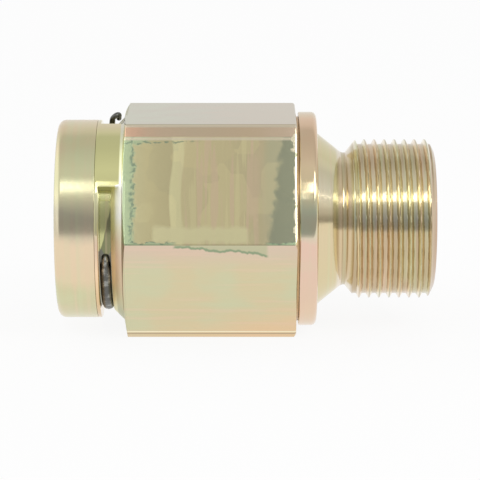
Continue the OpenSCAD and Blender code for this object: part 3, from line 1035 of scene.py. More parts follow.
        # Painted glint: a bright line under the top strip, where the edge catches the light.
        colour = colour.under(up.band(low - 0.45, low, 0.12) * 0.75, self.ridge_glint)
        colour = colour.under(up.step(low, low + 0.15), along.ramp(self.strip))
        colour = colour.under(up.step(high - 0.02, high + 0.2), self.top_edge)
        # Painted glint along the face's right edge.
        right_glint = wavy_x.step(right - 0.55, right - 0.4) * up.step(7.9, 7.6)
        return colour.under(right_glint, self.right_edge_glint)

    def panelled(self, g: Graph, x: Pattern, along: Pattern) -> Pattern:
        """Return the upper front face's ground.

        Args:
            g: the material's graph.
            x: place along the axis.
            along: the same, a little rippled.

        Returns:
            Olive and straw panels, with rose and straw streaks across the middle that are painted
            reflections.
        """
        blocks = g.cells((0.26, 0.20, 0.20), (0.4, 0.2, 0.7))
        colour = along.ramp(self.front).under(blocks.step(0.55, 0.6, 0, 0.18), self.straw)
        colour = colour.under(blocks.step(0.35, 0.3, 0, 0.10), self.slate)
        # Painted reflections: rose and straw streaks across the middle of the face.
        reflection_streaks = g.noise((1.0, 0.05, 0.05), 2)
        middle = x.band(-9, 2, 1.2)
        colour = colour.under(middle * reflection_streaks.step(0.52, 0.6, 0, 0.45), self.rose)
        return colour.under(middle * reflection_streaks.step(0.46, 0.4, 0, 0.4), self.straw)

    def edged(self, g: Graph, x: Pattern, wavy_x: Pattern, wavy_up: Pattern, colour: Pattern) -> Pattern:
        """Lay the ragged teal film along the left, lower and upper edges of the upper front face.

        Args:
            g: the material's graph.
            x: place along the axis.
            wavy_x: the same, with waves.
            wavy_up: place up the face, with waves.
            colour: the face's colour.

        Returns:
            The colour with its edges.
        """
        left, bottom = self.face_x[0], -self.half_side
        off_spill = 1 - x.band(*self.spill_x, 0.6)
        foot = wavy_up.step(bottom + 0.5, bottom + 0.3) * off_spill
        head = wavy_up.step(6.0, 6.6) * wavy_x.step(left + 5, left + 2)
        colour = colour.under((wavy_x.step(left + 2.0, left + 1.2) | foot | head) * 0.9, self.teal)
        seam = wavy_up.band(bottom + 0.29, bottom + 0.49, 0.1) * off_spill
        head_line = wavy_up.band(6.35, 6.6, 0.1) * x.step(-6, -9)
        line = wavy_x.band(left + 1.1, left + 1.6, 0.15) | seam | head_line
        ragged = g.noise((1.6, 1.6, 1.6), 3, 0.6, (2, 2, 2)).step(0.42, 0.55, 0, 0.8)
        return colour.under(line * ragged, self.deep_teal)

    def under_film(self, g: Graph, x: Pattern, up: Pattern) -> Pattern:
        """Return the lower front face's colour.

        Args:
            g: the material's graph.
            x: place along the axis.
            up: place up the face, 0 at its middle.

        Returns:
            Rose along the top, pale green at the left, peach below, and olive spilt over the upper edge.
        """
        cloud = g.noise((0.13, 0.16, 0.16), 2, shift=(2, 9, 4))
        colour = g.mix(cloud.step(0.40, 0.66, 0, 0.6), self.under_olive, self.under_green)
        colour = colour.under(up.step(3.5, 9.0, 0, 0.75), self.under_rose)
        colour = colour.under((up * -1 + x * 0.25).step(2.5, 9.5, 0, 0.8), self.peach)
        lines = g.noise((0.06, 1.3, 1.3), 2, shift=(5, 1, 8))
        colour = colour.under(lines.step(0.54, 0.66, 0, 0.16), self.line_green)
        colour = colour.under(lines.step(0.46, 0.34, 0, 0.20), self.line_rose)
        wave = g.noise((0.45, 0.1, 0.1), 3, 0.6, (3, 1, 6)).step(0.3, 0.7, -0.35, 0.35)
        slant = up + x * self.spill_lean + wave
        spilt, line = x.band(*self.spill_x, 0.3), self.spill_up
        colour = colour.under(spilt * slant.step(line - 0.1, line + 0.1), self.spill)
        colour = colour.under(spilt * slant.band(line - 0.25, line + 0.2, 0.15), self.spill_edge)
        colour = colour.under(up.band(-8.55, -8.3, 0.08), self.low_shade)
        return colour.under(up.band(-8.15, -7.95, 0.08), self.low_glint)


@dataclass(frozen=True)
class SpringSteel:
    """Black oxidised spring wire with a fine bumpy grain and rubbed spots, whose paleness is partly a painted
    sheen.
    """

    name: str
    slot: str
    dark: Colour = (0.13, 0.13, 0.12)
    rubbed_and_sheen: Colour = (0.56, 0.57, 0.53)

    def material(self) -> bpy.types.Material:
        """Build the material."""
        g = SurfaceGraph(self.name)
        spots = g.noise((0.9, 0.9, 0.9), 4, 0.6)
        # Pale spots: partly rubbed metal, partly a painted sheen standing in for the wire's highlight.
        colour = g.mix(spots.step(0.48, 0.72, 0, 0.8), self.dark, self.rubbed_and_sheen)
        normal = g.bump(g.noise((9, 9, 9), 2), 0.006, 0.4)
        g.set(Base_Color=colour, Metallic=0.85, Roughness=spots.step(0.3, 0.7, 0.42, 0.28), Normal=normal)
        return g.material


@dataclass(frozen=True)
class InnerFinish:
    """Finish of a piece that the housing hides: one colour with a fine grain and a slight mottle."""

    name: str
    slot: str
    colour: Colour
    shade: Colour
    metallic: float
    roughness: float
    grain: Grain = Grain.PLAIN

    def material(self) -> bpy.types.Material:
        """Build the material."""
        g = SurfaceGraph(self.name)
        cloud = g.noise((0.8, 0.8, 0.8), 4, 0.6)
        fine = g.noise((12, 0.3, 0.3) if self.grain is Grain.TURNED else (6, 6, 6), 2)
        colour = g.mix(cloud.step(0.35, 0.65), self.colour, self.shade)
        rough = fine.step(0.3, 0.7, -0.04, 0.06) + self.roughness
        g.set(Base_Color=colour, Metallic=self.metallic, Roughness=rough, Normal=g.bump(fine, 0.004, 0.4))
        return g.material


Finish = YellowZinc | SpringSteel | InnerFinish


def dress(piece: bpy.types.Object, finish: Finish) -> None:
    """Give a piece its finish.

    Args:
        piece: the piece.
        finish: its finish.
    """
    piece.data.materials.clear()
    piece.data.materials.append(finish.material())


@dataclass
class HexHousing:
    """Hexagonal housing with a rim held by a web, a wire slot, and the bore for bearing and seals."""

    finish: YellowZinc
    rim_x: float = 5.91
    rim_w: float = 0.55
    slot_w: float = 1.85
    rim_r: float = 14.8
    foot_r: float = 13.65
    runout_r: float = 13.85
    mouth_r: float = 12.99
    web_start_deg: float = 30.5
    web_end_deg: float = 84.0
    runout_deg: float = 7.0
    foot_cone_deg: float = 45.0
    foot_cone_h: float = 1.55
    slope_deg: float = 10.0
    end_chamfer: float = 0.35
    end_chamfer_deg: float = 30.0
    end_round: float = 0.26
    corner_blend: float = 0.30
    cone_blend: float = 0.22
    edge: float = 0.10
    finest_row: float = 0.02
    chamber_r: float = 12.1
    inner_thread_r: float = 12.51
    inner_thread: Point = (9.21, 14.81)
    wall_x: float = 28.76
    bush: Point = (29.06, 9.04)
    wiper: Point = (33.26, 10.54)
    wiper_chamfer: float = 0.25
    journal_r: float = 8.06

    def __post_init__(self) -> None:
        """Take the hexagon's size and its right end from the frame."""
        low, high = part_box("hex_housing")
        self.half_flats = (high.z - low.z) / 2 / MM
        self.corner_r = self.half_flats / math.cos(math.radians(30))
        self.end_x = (high.x - LEFT_M) / MM
        self.slot_x = self.rim_x + self.rim_w
        self.slot_end_x = self.slot_x + self.slot_w
        self.cone_rise = math.tan(math.radians(self.foot_cone_deg))
        self.slope_rise = math.tan(math.radians(self.slope_deg))
        self.end_rise = math.tan(math.radians(self.end_chamfer_deg))
        self.cone_top_r = self.foot_r + self.foot_cone_h
        self.cone_top_x = self.slot_end_x + self.foot_cone_h * self.cone_rise

    def angles(self) -> np.ndarray:
        """Return the turn's steps: finer at the hexagon's corners, and one at each end of web and slot."""
        corners = [60 * k + d for k in range(6) for d in np.arange(-2.4, 2.41, 0.2)]
        ends = [self.web_start_deg, self.web_end_deg, self.web_end_deg + self.runout_deg]
        steps = np.unique(np.round(np.concatenate((np.arange(0, 360, 1.25), np.mod(corners, 360), ends)), 4))
        keep = [steps[0]]
        for step in steps[1:]:
            if step - keep[-1] > 0.09 or step in ends:
                keep.append(step)
        return np.array(keep)

    def hexagon(self, angles: np.ndarray, inset: float) -> np.ndarray:
        """Return the hexagon's radius for each angle, with rounded corners.

        Args:
            angles: angles above the front.
            inset: how far its flats lie below their full size.

        Returns:
            One radius for each angle.
        """
        from_normal = np.radians(np.abs(angles % 60 - 30))
        near = (self.half_flats - inset) / np.cos(from_normal)
        far = (self.half_flats - inset) / np.cos(math.radians(60) - from_normal)
        return soft_min(near, far, self.corner_blend)

    def body(self, along: float, angles: np.ndarray) -> np.ndarray:
        """Return the outer radius of the hexagon with its cone and rounded right end.

        Args:
            along: place along the axis.
            angles: angles above the front.

        Returns:
            One radius for each angle.
        """
        past = min(max(along - (self.end_x - self.end_round), 0), self.end_round)
        hexagon = self.hexagon(angles, self.end_round - math.sqrt(self.end_round**2 - past**2))
        cone = self.foot_r + (along - self.slot_end_x) / self.cone_rise
        slope = self.cone_top_r + (along - self.cone_top_x) / self.slope_rise
        chamfer = self.corner_r + (self.end_x - self.end_chamfer - along) / self.end_rise
        both = soft_min(hexagon, np.full_like(hexagon, max(cone, slope)), self.cone_blend)
        return soft_min(both, np.full_like(hexagon, chamfer), self.cone_blend / 2)

    def build(self) -> bpy.types.Object:
        """Build the housing as one closed mesh."""
        stack = RingStack(self.angles())
        e = self.edge
        rim = stack.add_all(
            [
                (self.rim_x, self.mouth_r),
                (self.rim_x, self.rim_r - e),
                (self.rim_x + e * 0.3, self.rim_r - e * 0.3),
                (self.rim_x + e, self.rim_r),
                (self.slot_x - e, self.rim_r),
            ]
        )
        slot_left = stack.add_all([(self.slot_x, self.rim_r - e), (self.slot_x, self.runout_r)])
        mouth_left = stack.add(self.slot_x, self.mouth_r)
        meet_x = self.slot_end_x + (self.rim_r - self.foot_r) * self.cone_rise
        web = stack.add_all([(x, self.rim_r) for x in np.linspace(self.slot_x, meet_x, 8)[1:-1]])
        foot_top = (self.slot_end_x + 0.02, self.foot_r + 0.03)
        foot = stack.add_all([(self.slot_end_x, self.foot_r - e / 2), foot_top])
        floor_x = self.slot_end_x + (self.runout_r - self.foot_r) * self.cone_rise
        floor = stack.add(floor_x, self.runout_r)
        cone = [
            stack.add(x, self.foot_r + (x - self.slot_end_x) / self.cone_rise)
            for x in np.linspace(floor_x, meet_x, 6)[1:-1]
        ]
        meet = stack.add(meet_x, self.rim_r)
        slope_end = self.cone_top_x + (self.corner_r - self.cone_top_r) * self.slope_rise + 0.2
        rows = np.concatenate(
            (
                np.linspace(meet_x, self.cone_top_x, 6)[1:],
                np.arange(self.cone_top_x + self.finest_row, slope_end, self.finest_row),
                np.linspace(slope_end, self.end_x - 0.6, 14),
                np.linspace(self.end_x - 0.55, self.end_x - self.end_round, 7),
                self.end_x - self.end_round * (1 - np.sin(np.radians((15, 30, 45, 60, 75, 90)))),
            )
        )
        skin = [stack.add(x, self.body(x, stack.angles)) for x in rows]
        bush_x, bush_r = self.bush
        wiper_x, wiper_r = self.wiper
        thread_x, thread_end_x = self.inner_thread
        bore = stack.add_all(
            [
                (self.end_x, wiper_r + self.wiper_chamfer),
                (self.end_x - self.wiper_chamfer, wiper_r),
                (wiper_x, wiper_r),
                (wiper_x, bush_r),
                (bush_x, bush_r),
                (bush_x, self.journal_r),
                (self.wall_x, self.journal_r),
                (self.wall_x, self.chamber_r),
                (thread_end_x, self.chamber_r),
                (thread_end_x, self.inner_thread_r),
                (thread_x, self.inner_thread_r),
                (thread_x, self.mouth_r),
            ]
        )
        mouth_right = stack.add(self.slot_end_x, self.mouth_r)
        shared = [meet, *skin, *bore, mouth_right]
        loops = {
            "web": [[*rim, *web, *shared, mouth_left]],
            "floor": [[*rim, *slot_left, floor, *cone, *shared, mouth_left]],
            "open": [[*rim, *slot_left, mouth_left], [*foot, floor, *cone, *shared]],
        }
        count = len(stack.angles)
        faces: list[list[int]] = []
        zones = []
        for i in range(count):
            middle = (stack.angles[i] + (stack.angles[i + 1] if i + 1 < count else 360)) / 2
            inside_web = self.web_start_deg < middle < self.web_end_deg
            on_floor = self.web_end_deg < middle < self.web_end_deg + self.runout_deg
            zone = "web" if inside_web else "floor" if on_floor else "open"
            zones.append(zone)
            for loop in loops[zone]:
                faces += stack.strips(loop, [i])
        above = [rim[-1], *web, meet, *reversed(cone), floor]
        walls = {
            ("open", "web"): [*above, *reversed(foot), mouth_right, mouth_left, *reversed(slot_left)],
            ("web", "floor"): [*above, *reversed(slot_left)],
            ("floor", "open"): [slot_left[-1], floor, *reversed(foot), mouth_right, mouth_left],
        }
        for i in range(1, count):
            ends = (zones[i - 1], zones[i])
            if ends in walls:
                faces.append([stack.number(ring, i) for ring in walls[ends]])
        return new_object("housing_body", stack.points(), faces)

    def fit(self) -> bpy.types.Object:
        """Build the housing, dress it and put it on its body."""
        piece = self.build()
        dress(piece, self.finish)
        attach(piece, "housing")
        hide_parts("hex_housing")
        return piece


@dataclass
class PortCollar:
    """Round collar with a female pipe thread, and the spigot that screws into the housing.

    Within web_deg the floor of the wire's groove is raised to web_gap below the spigot, so that no dark
    line shows where the housing's web covers it.
    """

    finish: YellowZinc
    length: float = 5.9
    outer_r: float = 14.8
    outer_round: float = 1.1
    seam_edge: float = 0.08
    port: ScrewThread = ScrewThread(1.814, 9.316, 1.14, 27.5, 0.30, 1.2, outside=False)
    mouth_chamfer: float = 0.9
    root_gap: float = 0.05
    lip_w: float = 0.3
    thread_end: float = 12.2
    port_depth: float = 13.4
    passage_r: float = 5.5
    socket_x: float = 14.2
    socket_r: float = 7.43
    guide: Triple = (14.9, 16.42, 8.2)
    seal: Triple = (16.95, 20.05, 9.12)
    spigot_r: float = 12.98
    wire_groove: Triple = (6.585, 8.185, 12.45)
    thread: Triple = (8.91, 14.81, 12.5)
    ring_groove: Triple = (15.81, 18.11, 10.92)
    web_deg: Span = (25.0, 86.0)
    web_gap: float = 0.03
    nose_r: float = 12.07
    end_x: float = 20.8
    holes: int = 4
    hole_d: float = 2.2
    hole_depth: float = 2.4
    turn_steps: int = 240

    def build(self) -> bpy.types.Object:
        """Build the collar with its spigot as one closed mesh."""
        stack = RingStack(even_turn(self.turn_steps))
        groove_x, groove_end, groove_r = self.wire_groove
        ring_x, ring_end, ring_r = self.ring_groove
        seal_x, seal_end, seal_r = self.seal
        guide_x, guide_end, guide_r = self.guide
        screw_x, screw_end, screw_r = self.thread
        mouth_r = self.port.crest_r + self.port.depth + self.root_gap
        lip_r = mouth_r + self.lip_w
        outside = rounded(
            [
                (0, lip_r, 0.12),
                (0, self.outer_r, self.outer_round),
                (self.length, self.outer_r, self.seam_edge),
                (self.length, self.spigot_r, 0),
                (groove_x, self.spigot_r, 0.05),
                (groove_x, groove_r, 0.05),
                (groove_end, groove_r, 0.05),
                (groove_end, self.spigot_r, 0.05),
                (screw_x, self.spigot_r, 0.05),
                (screw_x, screw_r, 0),
                (screw_end, screw_r, 0),
                (screw_end, self.nose_r, 0),
                (ring_x, self.nose_r, 0.05),
                (ring_x, ring_r, 0.1),
                (ring_end, ring_r, 0.1),
                (ring_end, self.nose_r, 0.05),
                (self.end_x, self.nose_r, 0.2),
                (self.end_x, self.socket_r, 0.1),
                (seal_end, self.socket_r, 0),
                (seal_end, seal_r, 0.1),
                (seal_x, seal_r, 0.1),
                (seal_x, self.socket_r, 0),
                (guide_end, self.socket_r, 0),
                (guide_end, guide_r, 0),
                (guide_x, guide_r, 0),
                (guide_x, self.socket_r, 0),
                (self.socket_x, self.socket_r, 0),
                (self.socket_x, self.passage_r, 0.1),
                (self.port_depth, self.passage_r, 0.15),
                (self.port_depth, mouth_r, 0),
                (self.thread_end, mouth_r, 0),
            ]
        )
        under_web = (stack.angles > self.web_deg[0]) & (stack.angles < self.web_deg[1])
        for x, r in outside:
            in_groove = groove_x - 0.01 <= x <= groove_end + 0.01 and groove_r - 0.01 <= r < self.spigot_r
            stack.add(x, np.where(under_web, self.spigot_r - self.web_gap, r) if in_groove else r)
        for x in np.arange(self.thread_end - 0.05, 0.05, -self.port.pitch / 18):
            mouth = lip_r - max(x, 0) / self.mouth_chamfer * (lip_r - self.port.crest_r)
            wall = self.port.radii(x, stack.angles)
            stack.add(x, np.maximum(wall, max(mouth, self.port.crest_r)))
        piece = stack.piece("collar_body")
        hole_r = (self.port.crest_r + self.mouth_chamfer + self.outer_r - self.outer_round) / 2
        hole_r = max(hole_r, lip_r + self.hole_d / 2 + 0.2)
        mouths = [spot(0, hole_r, 90 + k * 360 / self.holes) for k in range(self.holes)]
        inward = Vector((1, 0, 0))
        cutters = [drill(f"pin_{k}", m, inward, self.hole_d, self.hole_depth) for k, m in enumerate(mouths)]
        carve(piece, cutters)
        return piece

    def fit(self) -> bpy.types.Object:
        """Build the collar, dress it and put it on its body."""
        piece = self.build()
        dress(piece, self.finish)
        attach(piece, "housing")
        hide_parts("port_collar")
        return piece


@dataclass
class LockingWire:
    """Spring wire, rolled flat where it lies in the slot, with a tail turned in and a hook on its end."""

    finish: SpringSteel
    wire_d: float = 1.1
    ring_r: float = 13.05
    middle_x: float = 7.385
    tail_deg: float = -15.0
    tail_depth: float = 1.6
    exit_deg: float = 131.0
    exit_run: float = 7.1
    exit_lean: float = 0.55
    hook_r: float = 0.60
    hook_leg: float = 0.9
    hook_deg: float = 38.5
    hook_d: float = 0.78
    flat_w: float = 1.5
    bend_gap: float = 0.1
    step_deg: float = 2.0
    bend_steps: int = 12
    sides: int = 20

    def route(self) -> list[Vector]:
        """Return the points along the middle of the wire, in millimetres round the slot's middle."""
        bend = self.wire_d / 2 + self.bend_gap
        quarter = [math.radians(90 * i / self.bend_steps) for i in range(self.bend_steps + 1)]
        points = [ahead(self.tail_deg) * (self.ring_r - self.tail_depth)]
        points += [
            ahead(self.tail_deg) * (self.ring_r - bend * (1 - math.sin(a)))
            + onward(self.tail_deg) * bend * (1 - math.cos(a))
            for a in quarter
        ]
        start = self.tail_deg - math.degrees(math.atan(bend / self.ring_r)) - self.step_deg
        sweep = start + 360 - self.exit_deg
        count = round(sweep / self.step_deg)
        points += [ahead(start - i * sweep / count) * self.ring_r for i in range(count + 1)]
        leave = ahead(self.exit_deg) * self.ring_r
        run = onward(self.exit_deg) * self.exit_run + Vector((self.exit_lean, 0, 0))
        end, way = leave + run, run.normalized()
        points += [leave + run * share for share in (0.25, 0.5, 0.75)]
        facing = self.exit_deg - math.degrees(math.atan(self.exit_run / self.ring_r))
        lift = ahead(facing) * math.sin(math.radians(self.hook_deg))
        lift += Vector((math.cos(math.radians(self.hook_deg)), 0, 0))
        out = (lift - way * lift.dot(way)).normalized()
        half = [math.radians(180 * i / (2 * self.bend_steps)) for i in range(2 * self.bend_steps + 1)]
        points += [
            end + way * self.hook_r * math.sin(a) + out * self.hook_r * (1 - math.cos(a))
            for a in half
        ]
        points.append(end + out * self.hook_r * 2 - way * self.hook_leg)
        return points

    def section(self, number: int, last: int) -> Point:
        """Return half the wire's width along the axis and half its thickness.

        Args:
            number: number of the point on the route.
            last: number of the route's last point.

        Returns:
            Both halves: round at the tail, flat in the slot and thinner in the hook.
        """
        hook_start = last - 2 * self.bend_steps - 2
        ring_start, ring_end = self.bend_steps + 2, hook_start - 3
        flat = min(max(number - ring_start, 0), max((ring_end - number) / 6, 0), 1)
        thin = min(max((number - ring_end) / 5, 0), 1)
        round_r = (self.wire_d + (self.hook_d - self.wire_d) * thin) / 2
        return round_r + (self.flat_w - self.wire_d) / 2 * flat, round_r

    def build(self) -> bpy.types.Object:
        """Sweep the wire's round section along its route."""
        route = self.route()
        last = len(route) - 1
        chamfer = self.wire_d * 0.06
        first_way = (route[1] - route[0]).normalized()
        last_way = (route[last] - route[last - 1]).normalized()
        sizes = [self.section(i, last) for i in range(last + 1)]
        worn = [(wide - chamfer, thick - chamfer) for wide, thick in sizes]
        stations = [(route[0], worn[0]), (route[0] + first_way * chamfer, sizes[0])]
        stations += list(zip(route[1:last], sizes[1:last]))
        stations += [(route[last] - last_way * chamfer, sizes[last]), (route[last], worn[last])]
        middle = Vector((LEFT_M / MM + self.middle_x, 0, 0))
        points: list[Vector] = []
        for i, (point, (wide, thick)) in enumerate(stations):
            way = (stations[min(i + 1, len(stations) - 1)][0] - stations[max(i - 1, 0)][0]).normalized()
            side = (Vector((1, 0, 0)) - way * way.x).normalized()
            up = way.cross(side)
            for k in range(self.sides):
                turn = 2 * math.pi * k / self.sides
                spoke = side * math.cos(turn) * wide + up * math.sin(turn) * thick
                points.append((middle + point + spoke) * MM)
        n = self.sides
        faces = [
            [i * n + k, (i + 1) * n + k, (i + 1) * n + (k + 1) % n, i * n + (k + 1) % n]
            for i in range(len(stations) - 1)
            for k in range(n)
        ]
        faces += [list(range(n)), [(len(stations) - 1) * n + k for k in reversed(range(n))]]
        return new_object("lock_wire", np.array([tuple(p) for p in points]), faces)

    def fit(self) -> bpy.types.Object:
        """Build the wire, dress it and put it on its body."""
        piece = self.build()
        dress(piece, self.finish)
        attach(piece, "housing")
        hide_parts("locking_wire")
        return piece


@dataclass
class SwivelStem:
    """Stem with tail, journal, shoulder, neck and male thread, drilled through to the tube socket."""

    finish: YellowZinc
    tail_x: float = 14.6
    tail_r: float = 7.4
    nut_thread: Point = (20.87, 7.7)
    journal: Point = (24.28, 8.0)
    shoulder_x: float = 35.70
    shoulder_l: float = 2.7
    shoulder_round: float = 0.8
    neck_r: float = 12.95
    waist: Triple = (42.2, 42.7, 9.9)
    thread_x: float = 44.35
    end_chamfer: float = 0.9
    end_r: float = 10.1
    socket_depth: float = 8.5
    socket_r: float = 8.05
    mouth_r: float = 9.1
    cone_deg: float = 12.0
    bore_r: float = 5.0
    pitch: float = 1.5
    flank_deg: float = 30.0
    thread_r: float = 11.925
    thread_depth: float = 0.74
    crest_flat: float = 0.07
    crest_top_x: float = 45.66
    spanner_hole_d: float = 1.8
    spanner_hole_depth: float = 2.2
    turn_steps: int = 288

    def __post_init__(self) -> None:
        """Take the shoulder's radius and the stem's end from the frame."""
        low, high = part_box("swivel_stem")
        self.shoulder_r = (high.z - low.z) / 2 / MM
        self.end_x = (high.x - LEFT_M) / MM

    def build(self) -> bpy.types.Object:
        """Build the stem as one closed mesh, with its thread cut as a real helix."""
        stack = RingStack(even_turn(self.turn_steps))
        nut_x, nut_r = self.nut_thread
        journal_x, journal_r = self.journal
        waist_x, waist_end_x, waist_r = self.waist
        neck_x = self.shoulder_x + self.shoulder_l
        cone_l = (self.mouth_r - self.socket_r) / math.tan(math.radians(self.cone_deg))
        body = rounded(
            [
                (self.tail_x, self.bore_r, 0.15),
                (self.tail_x, self.tail_r, 0.3),
                (nut_x, self.tail_r, 0),
                (nut_x, nut_r, 0.1),
                (journal_x, nut_r, 0),
                (journal_x, journal_r, 0.1),
                (self.shoulder_x, journal_r, 0.15),
                (self.shoulder_x, self.shoulder_r, 0.2),
                (neck_x, self.shoulder_r, self.shoulder_round),
                (neck_x, self.neck_r, 0.25),
                (waist_x, waist_r, 1.0),
                (waist_end_x, waist_r, 0.2),
                (self.thread_x, self.thread_r, 0),
            ],
            7,
        )[:-1]
        stack.add_all(body)
        thread = ScrewThread(
            self.pitch, self.thread_r, self.thread_depth, self.flank_deg, self.crest_flat, self.crest_top_x
        )
        chamfer_x = self.end_x - self.end_chamfer
        slope = (self.thread_r - self.end_r) / self.end_chamfer
        run_in = (self.thread_r - waist_r) / (self.thread_x - waist_end_x)
        for x in np.arange(body[-1][0] + 0.08, self.end_x - 0.02, self.pitch / 20):
            envelope = min(
                self.thread_r,
                self.thread_r - (x - chamfer_x) * slope,
                waist_r + 0.02 + (x - waist_end_x) * run_in,
            )
            radii = thread.radii(x, stack.angles)
            stack.add(x, soft_min(radii, np.full_like(radii, envelope), 0.12))
        inside = rounded(
            [
                (self.end_x, self.end_r, 0.1),
                (self.end_x, self.mouth_r, 0.1),
                (self.end_x - cone_l, self.socket_r, 0.1),
                (self.end_x - self.socket_depth, self.socket_r, 0.2),
                (self.end_x - self.socket_depth, self.bore_r, 0.2),
            ]
        )
        stack.add_all(inside)
        piece = stack.piece("stem_body")
        mouth = spot(self.shoulder_x + self.shoulder_l / 2, self.shoulder_r, 180)
        inward = Vector((0, -1, 0))
        carve(piece, [drill("hook_hole", mouth, inward, self.spanner_hole_d, self.spanner_hole_depth)])
        return piece

    def fit(self) -> bpy.types.Object:
        """Build the stem, dress it and put it on its body."""
        piece = self.build()
        dress(piece, self.finish)
        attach(piece, "stem")
        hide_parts("swivel_stem")
        return piece


@dataclass
class InnerPieces:
    """The pieces that the frame already has in the right shape, which only get their finish."""

    finishes: dict[str, InnerFinish]

    def fit(self) -> None:
        """Give each node its finish."""
        for node, finish in self.finishes.items():
            dress(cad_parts[node], finish)


def inner_finishes() -> dict[str, InnerFinish]:
    """Return the finish of each node that the housing hides."""
    steel = ((0.58, 0.59, 0.61), (0.50, 0.51, 0.53), 1.0, 0.22, Grain.TURNED)
    polished = ((0.70, 0.71, 0.73), (0.66, 0.67, 0.70), 1.0, 0.08)
    oiled = ((0.36, 0.36, 0.37), (0.30, 0.30, 0.32), 1.0, 0.35, Grain.TURNED)
    blacked = ((0.04, 0.04, 0.045), (0.08, 0.08, 0.085), 0.8, 0.4)
    brass = ((0.70, 0.53, 0.24), (0.62, 0.46, 0.20), 1.0, 0.3)
    bronze = ((0.62, 0.40, 0.20), (0.54, 0.36, 0.19), 1.0, 0.3, Grain.TURNED)
    rubber = ((0.025, 0.025, 0.027), (0.04, 0.04, 0.042), 0.0, 0.6)
    ptfe = ((0.82, 0.80, 0.74), (0.76, 0.73, 0.66), 0.0, 0.5)
    blue = ((0.15, 0.30, 0.50), (0.12, 0.25, 0.44), 0.0, 0.45)
    return {
        "collar_o_ring": InnerFinish("ring_rubber", "seal_rubber", *rubber),
        "pressure_o_ring": InnerFinish("seal_rubber", "seal_rubber", *rubber),
        "collar_backup_ring": InnerFinish("ring_backup", "ptfe", *ptfe),
        "tail_guide_ring": InnerFinish("guide_backup", "ptfe", *ptfe),
        "left_backup_ring": InnerFinish("left_backup", "ptfe", *ptfe),
        "right_backup_ring": InnerFinish("right_backup", "ptfe", *ptfe),
        "bearing_shim": InnerFinish("shim_steel", "bearing_steel", *steel),
        "housing_race": InnerFinish("seat_race_steel", "bearing_steel", *steel),
        "stem_race": InnerFinish("stem_race_steel", "bearing_steel", *steel),
        "thrust_balls": InnerFinish("ball_polish", "ball_steel", *polished),
        "ball_cage": InnerFinish("cage_sheet", "cage_brass", *brass),
        "stem_nut": InnerFinish("nut_steel", "plain_steel", *oiled),
        "nut_grub_screws": InnerFinish("grub_black", "spring_steel", *blacked),
        "neck_bush": InnerFinish("bush_bearing", "bush_bronze", *bronze),
        "slide_washer": InnerFinish("washer_bearing", "bush_bronze", *bronze),
        "dust_wiper": InnerFinish("wiper_blue", "wiper", *blue),
    }


@dataclass(frozen=True)
class Softbox:
    """A softbox: where it hangs, its size and how bright its face is."""

    name: str
    along_m: float
    elevation: float
    width_m: float
    height_m: float
    level: float
    distance_m: float = 0.5
    faces_m: float | None = None

    def hang(self) -> None:
        """Hang it facing the axis, straight across or at the place that faces_m gives."""
        data = bpy.data.lights.new(self.name, "AREA")
        data.shape = "RECTANGLE"
        data.size, data.size_y = self.width_m, self.height_m
        data.energy = self.level * math.pi * self.width_m * self.height_m
        lamp = bpy.data.objects.new(self.name, data)
        turn = math.radians(self.elevation)
        lamp.location = (self.along_m, -self.distance_m * math.cos(turn), self.distance_m * math.sin(turn))
        target = self.along_m if self.faces_m is None else self.faces_m
        inward = Vector((target, 0, 0)) - lamp.location
        lamp.rotation_mode = "QUATERNION"
        lamp.rotation_quaternion = inward.to_track_quat("-Z", "Y")
        bpy.context.scene.collection.objects.link(lamp)


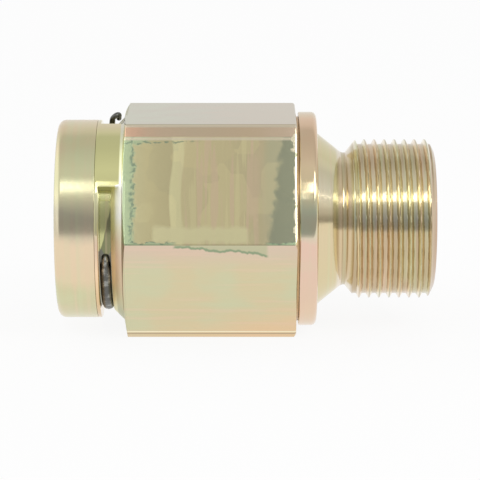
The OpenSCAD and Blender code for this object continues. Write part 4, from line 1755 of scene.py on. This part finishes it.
@dataclass
class Studio:
    """White table, white surroundings with a dim front, softboxes and the camera.

    tent holds the surroundings' brightness at angles above the front. It goes over into left_level where a
    direction's part along the axis lies between the two values of fade.
    """

    distance_m: float = 0.41
    elevation_deg: float = 12.75
    view_width_m: float = 0.072
    aim_x_m: float = -0.00093
    aim_drop_m: float = 0.00324
    sensor: float = 36.0
    softboxes: tuple[Softbox, ...] = (
        Softbox("left_softbox", -0.131, 48.5, 0.174, 0.112, 1.6),
        Softbox("right_softbox", 0.072, 45.0, 0.084, 0.09, 2.8),
        Softbox("shoulder_softbox", 0.020, 37.0, 0.010, 0.08, 1.2),
        Softbox("end_softbox", 0.46, 98.6, 0.07, 0.05, 4.0, 0.1345, 0.015),
        Softbox("edge_softbox", 0.307, 52.0, 0.20, 0.20, 3.5, 0.395, 0.0),
    )
    tent: tuple[Point, ...] = (
        (-180, 1.0),
        (-13, 1.0),
        (-7, 0.62),
        (-4, 0.42),
        (3, 0.40),
        (12, 0.41),
        (20, 0.46),
        (30, 0.56),
        (38, 0.62),
        (47, 0.60),
        (58, 0.72),
        (70, 0.76),
        (85, 0.70),
        (100, 0.64),
        (122, 0.62),
        (132, 0.76),
        (150, 0.82),
        (180, 0.84),
    )
    fade: Span = (-0.45, -0.80)
    left_level: float = 1.2
    table_half_m: float = 1.5
    table_front_m: float = -0.135
    table_glow: float = 0.9

    def camera(self) -> None:
        """Make the camera at the photograph's viewing angle."""
        tilt = math.radians(self.elevation_deg)
        forward = Vector((0, math.cos(tilt), -math.sin(tilt)))
        up = Vector((0, math.sin(tilt), math.cos(tilt)))
        aim = Vector((self.aim_x_m, 0, 0)) - up * self.aim_drop_m
        data = bpy.data.cameras.new("camera")
        data.sensor_width = self.sensor
        data.lens = self.sensor * self.distance_m / self.view_width_m
        data.clip_start, data.clip_end = 0.01, 20
        eye = bpy.data.objects.new("camera", data)
        eye.location = aim - forward * self.distance_m
        eye.rotation_mode = "QUATERNION"
        eye.rotation_quaternion = forward.to_track_quat("-Z", "Y")
        bpy.context.scene.collection.objects.link(eye)
        bpy.context.scene.camera = eye

    def surroundings(self) -> None:
        """Make the world: white to the camera, and a light tent with a dim front to everything else."""
        world = bpy.data.worlds.new("studio")
        bpy.context.scene.world = world
        world.use_nodes = True
        g = Graph(world.node_tree)
        x, y, z = g.split(g.where("Generated"))
        tent = g.turn(y, z).ramp(tuple((degrees, (level,) * 3) for degrees, level in self.tent))
        tent = tent.under(x.step(*self.fade), (self.left_level,) * 3)
        lit = g.glow("ShaderNodeBackground", tent)
        white = g.glow("ShaderNodeBackground", (1, 1, 1))
        g.show(g.node("ShaderNodeOutputWorld"), g.seen_by("Camera"), lit, white)

    def table(self) -> None:
        """Make the white table that the fitting lies on."""
        half = self.table_half_m
        mesh = bpy.data.meshes.new("table_top")
        front = self.table_front_m
        corners = [(-half, front), (half, front), (half, half), (-half, half)]
        mesh.from_pydata([(x, y, CAD_LOW.z) for x, y in corners], [], [(0, 1, 2, 3)])
        top = bpy.data.objects.new("table_top", mesh)
        bpy.context.scene.collection.objects.link(top)
        g = SurfaceGraph("table_white")
        grain = g.noise((0.5, 0.5, 0.5), 3)
        g.set(Base_Color=g.mix(grain, (0.95, 0.95, 0.95), (0.96, 0.96, 0.955)), Roughness=0.85)
        seen = (g.seen_by("Camera") | g.seen_by("Glossy")) * self.table_glow
        g.show(g.output, seen, g.shader.outputs["BSDF"], g.glow("ShaderNodeEmission", (1, 1, 1)))
        mesh.materials.append(g.material)

    def set_up(self) -> None:
        """Make everything round the fitting."""
        self.camera()
        self.surroundings()
        self.table()
        for softbox in self.softboxes:
            softbox.hang()
        bpy.context.scene.view_settings.view_transform = "Standard"


def main() -> None:
    """Build the fitting, its pieces in order, and the studio round it."""
    housing = HexHousing(HexagonZinc("housing_plating", "housing_zinc"))
    collar = PortCollar(CollarZinc("collar_plating", "collar_zinc"))
    wire = LockingWire(SpringSteel("wire_black", "spring_steel"))
    stem = SwivelStem(ThreadZinc("stem_plating", "stem_zinc"))
    for part in (housing, collar, wire, stem):
        piece = part.fit()
        log.info("built %s with %d faces", piece.name, len(piece.data.polygons))
    inner = InnerPieces(inner_finishes())
    inner.fit()
    log.info("dressed %d inner pieces", len(inner.finishes))
    Studio().set_up()


if __name__ == "__main__":
    logging.basicConfig(level=logging.INFO)
    main()
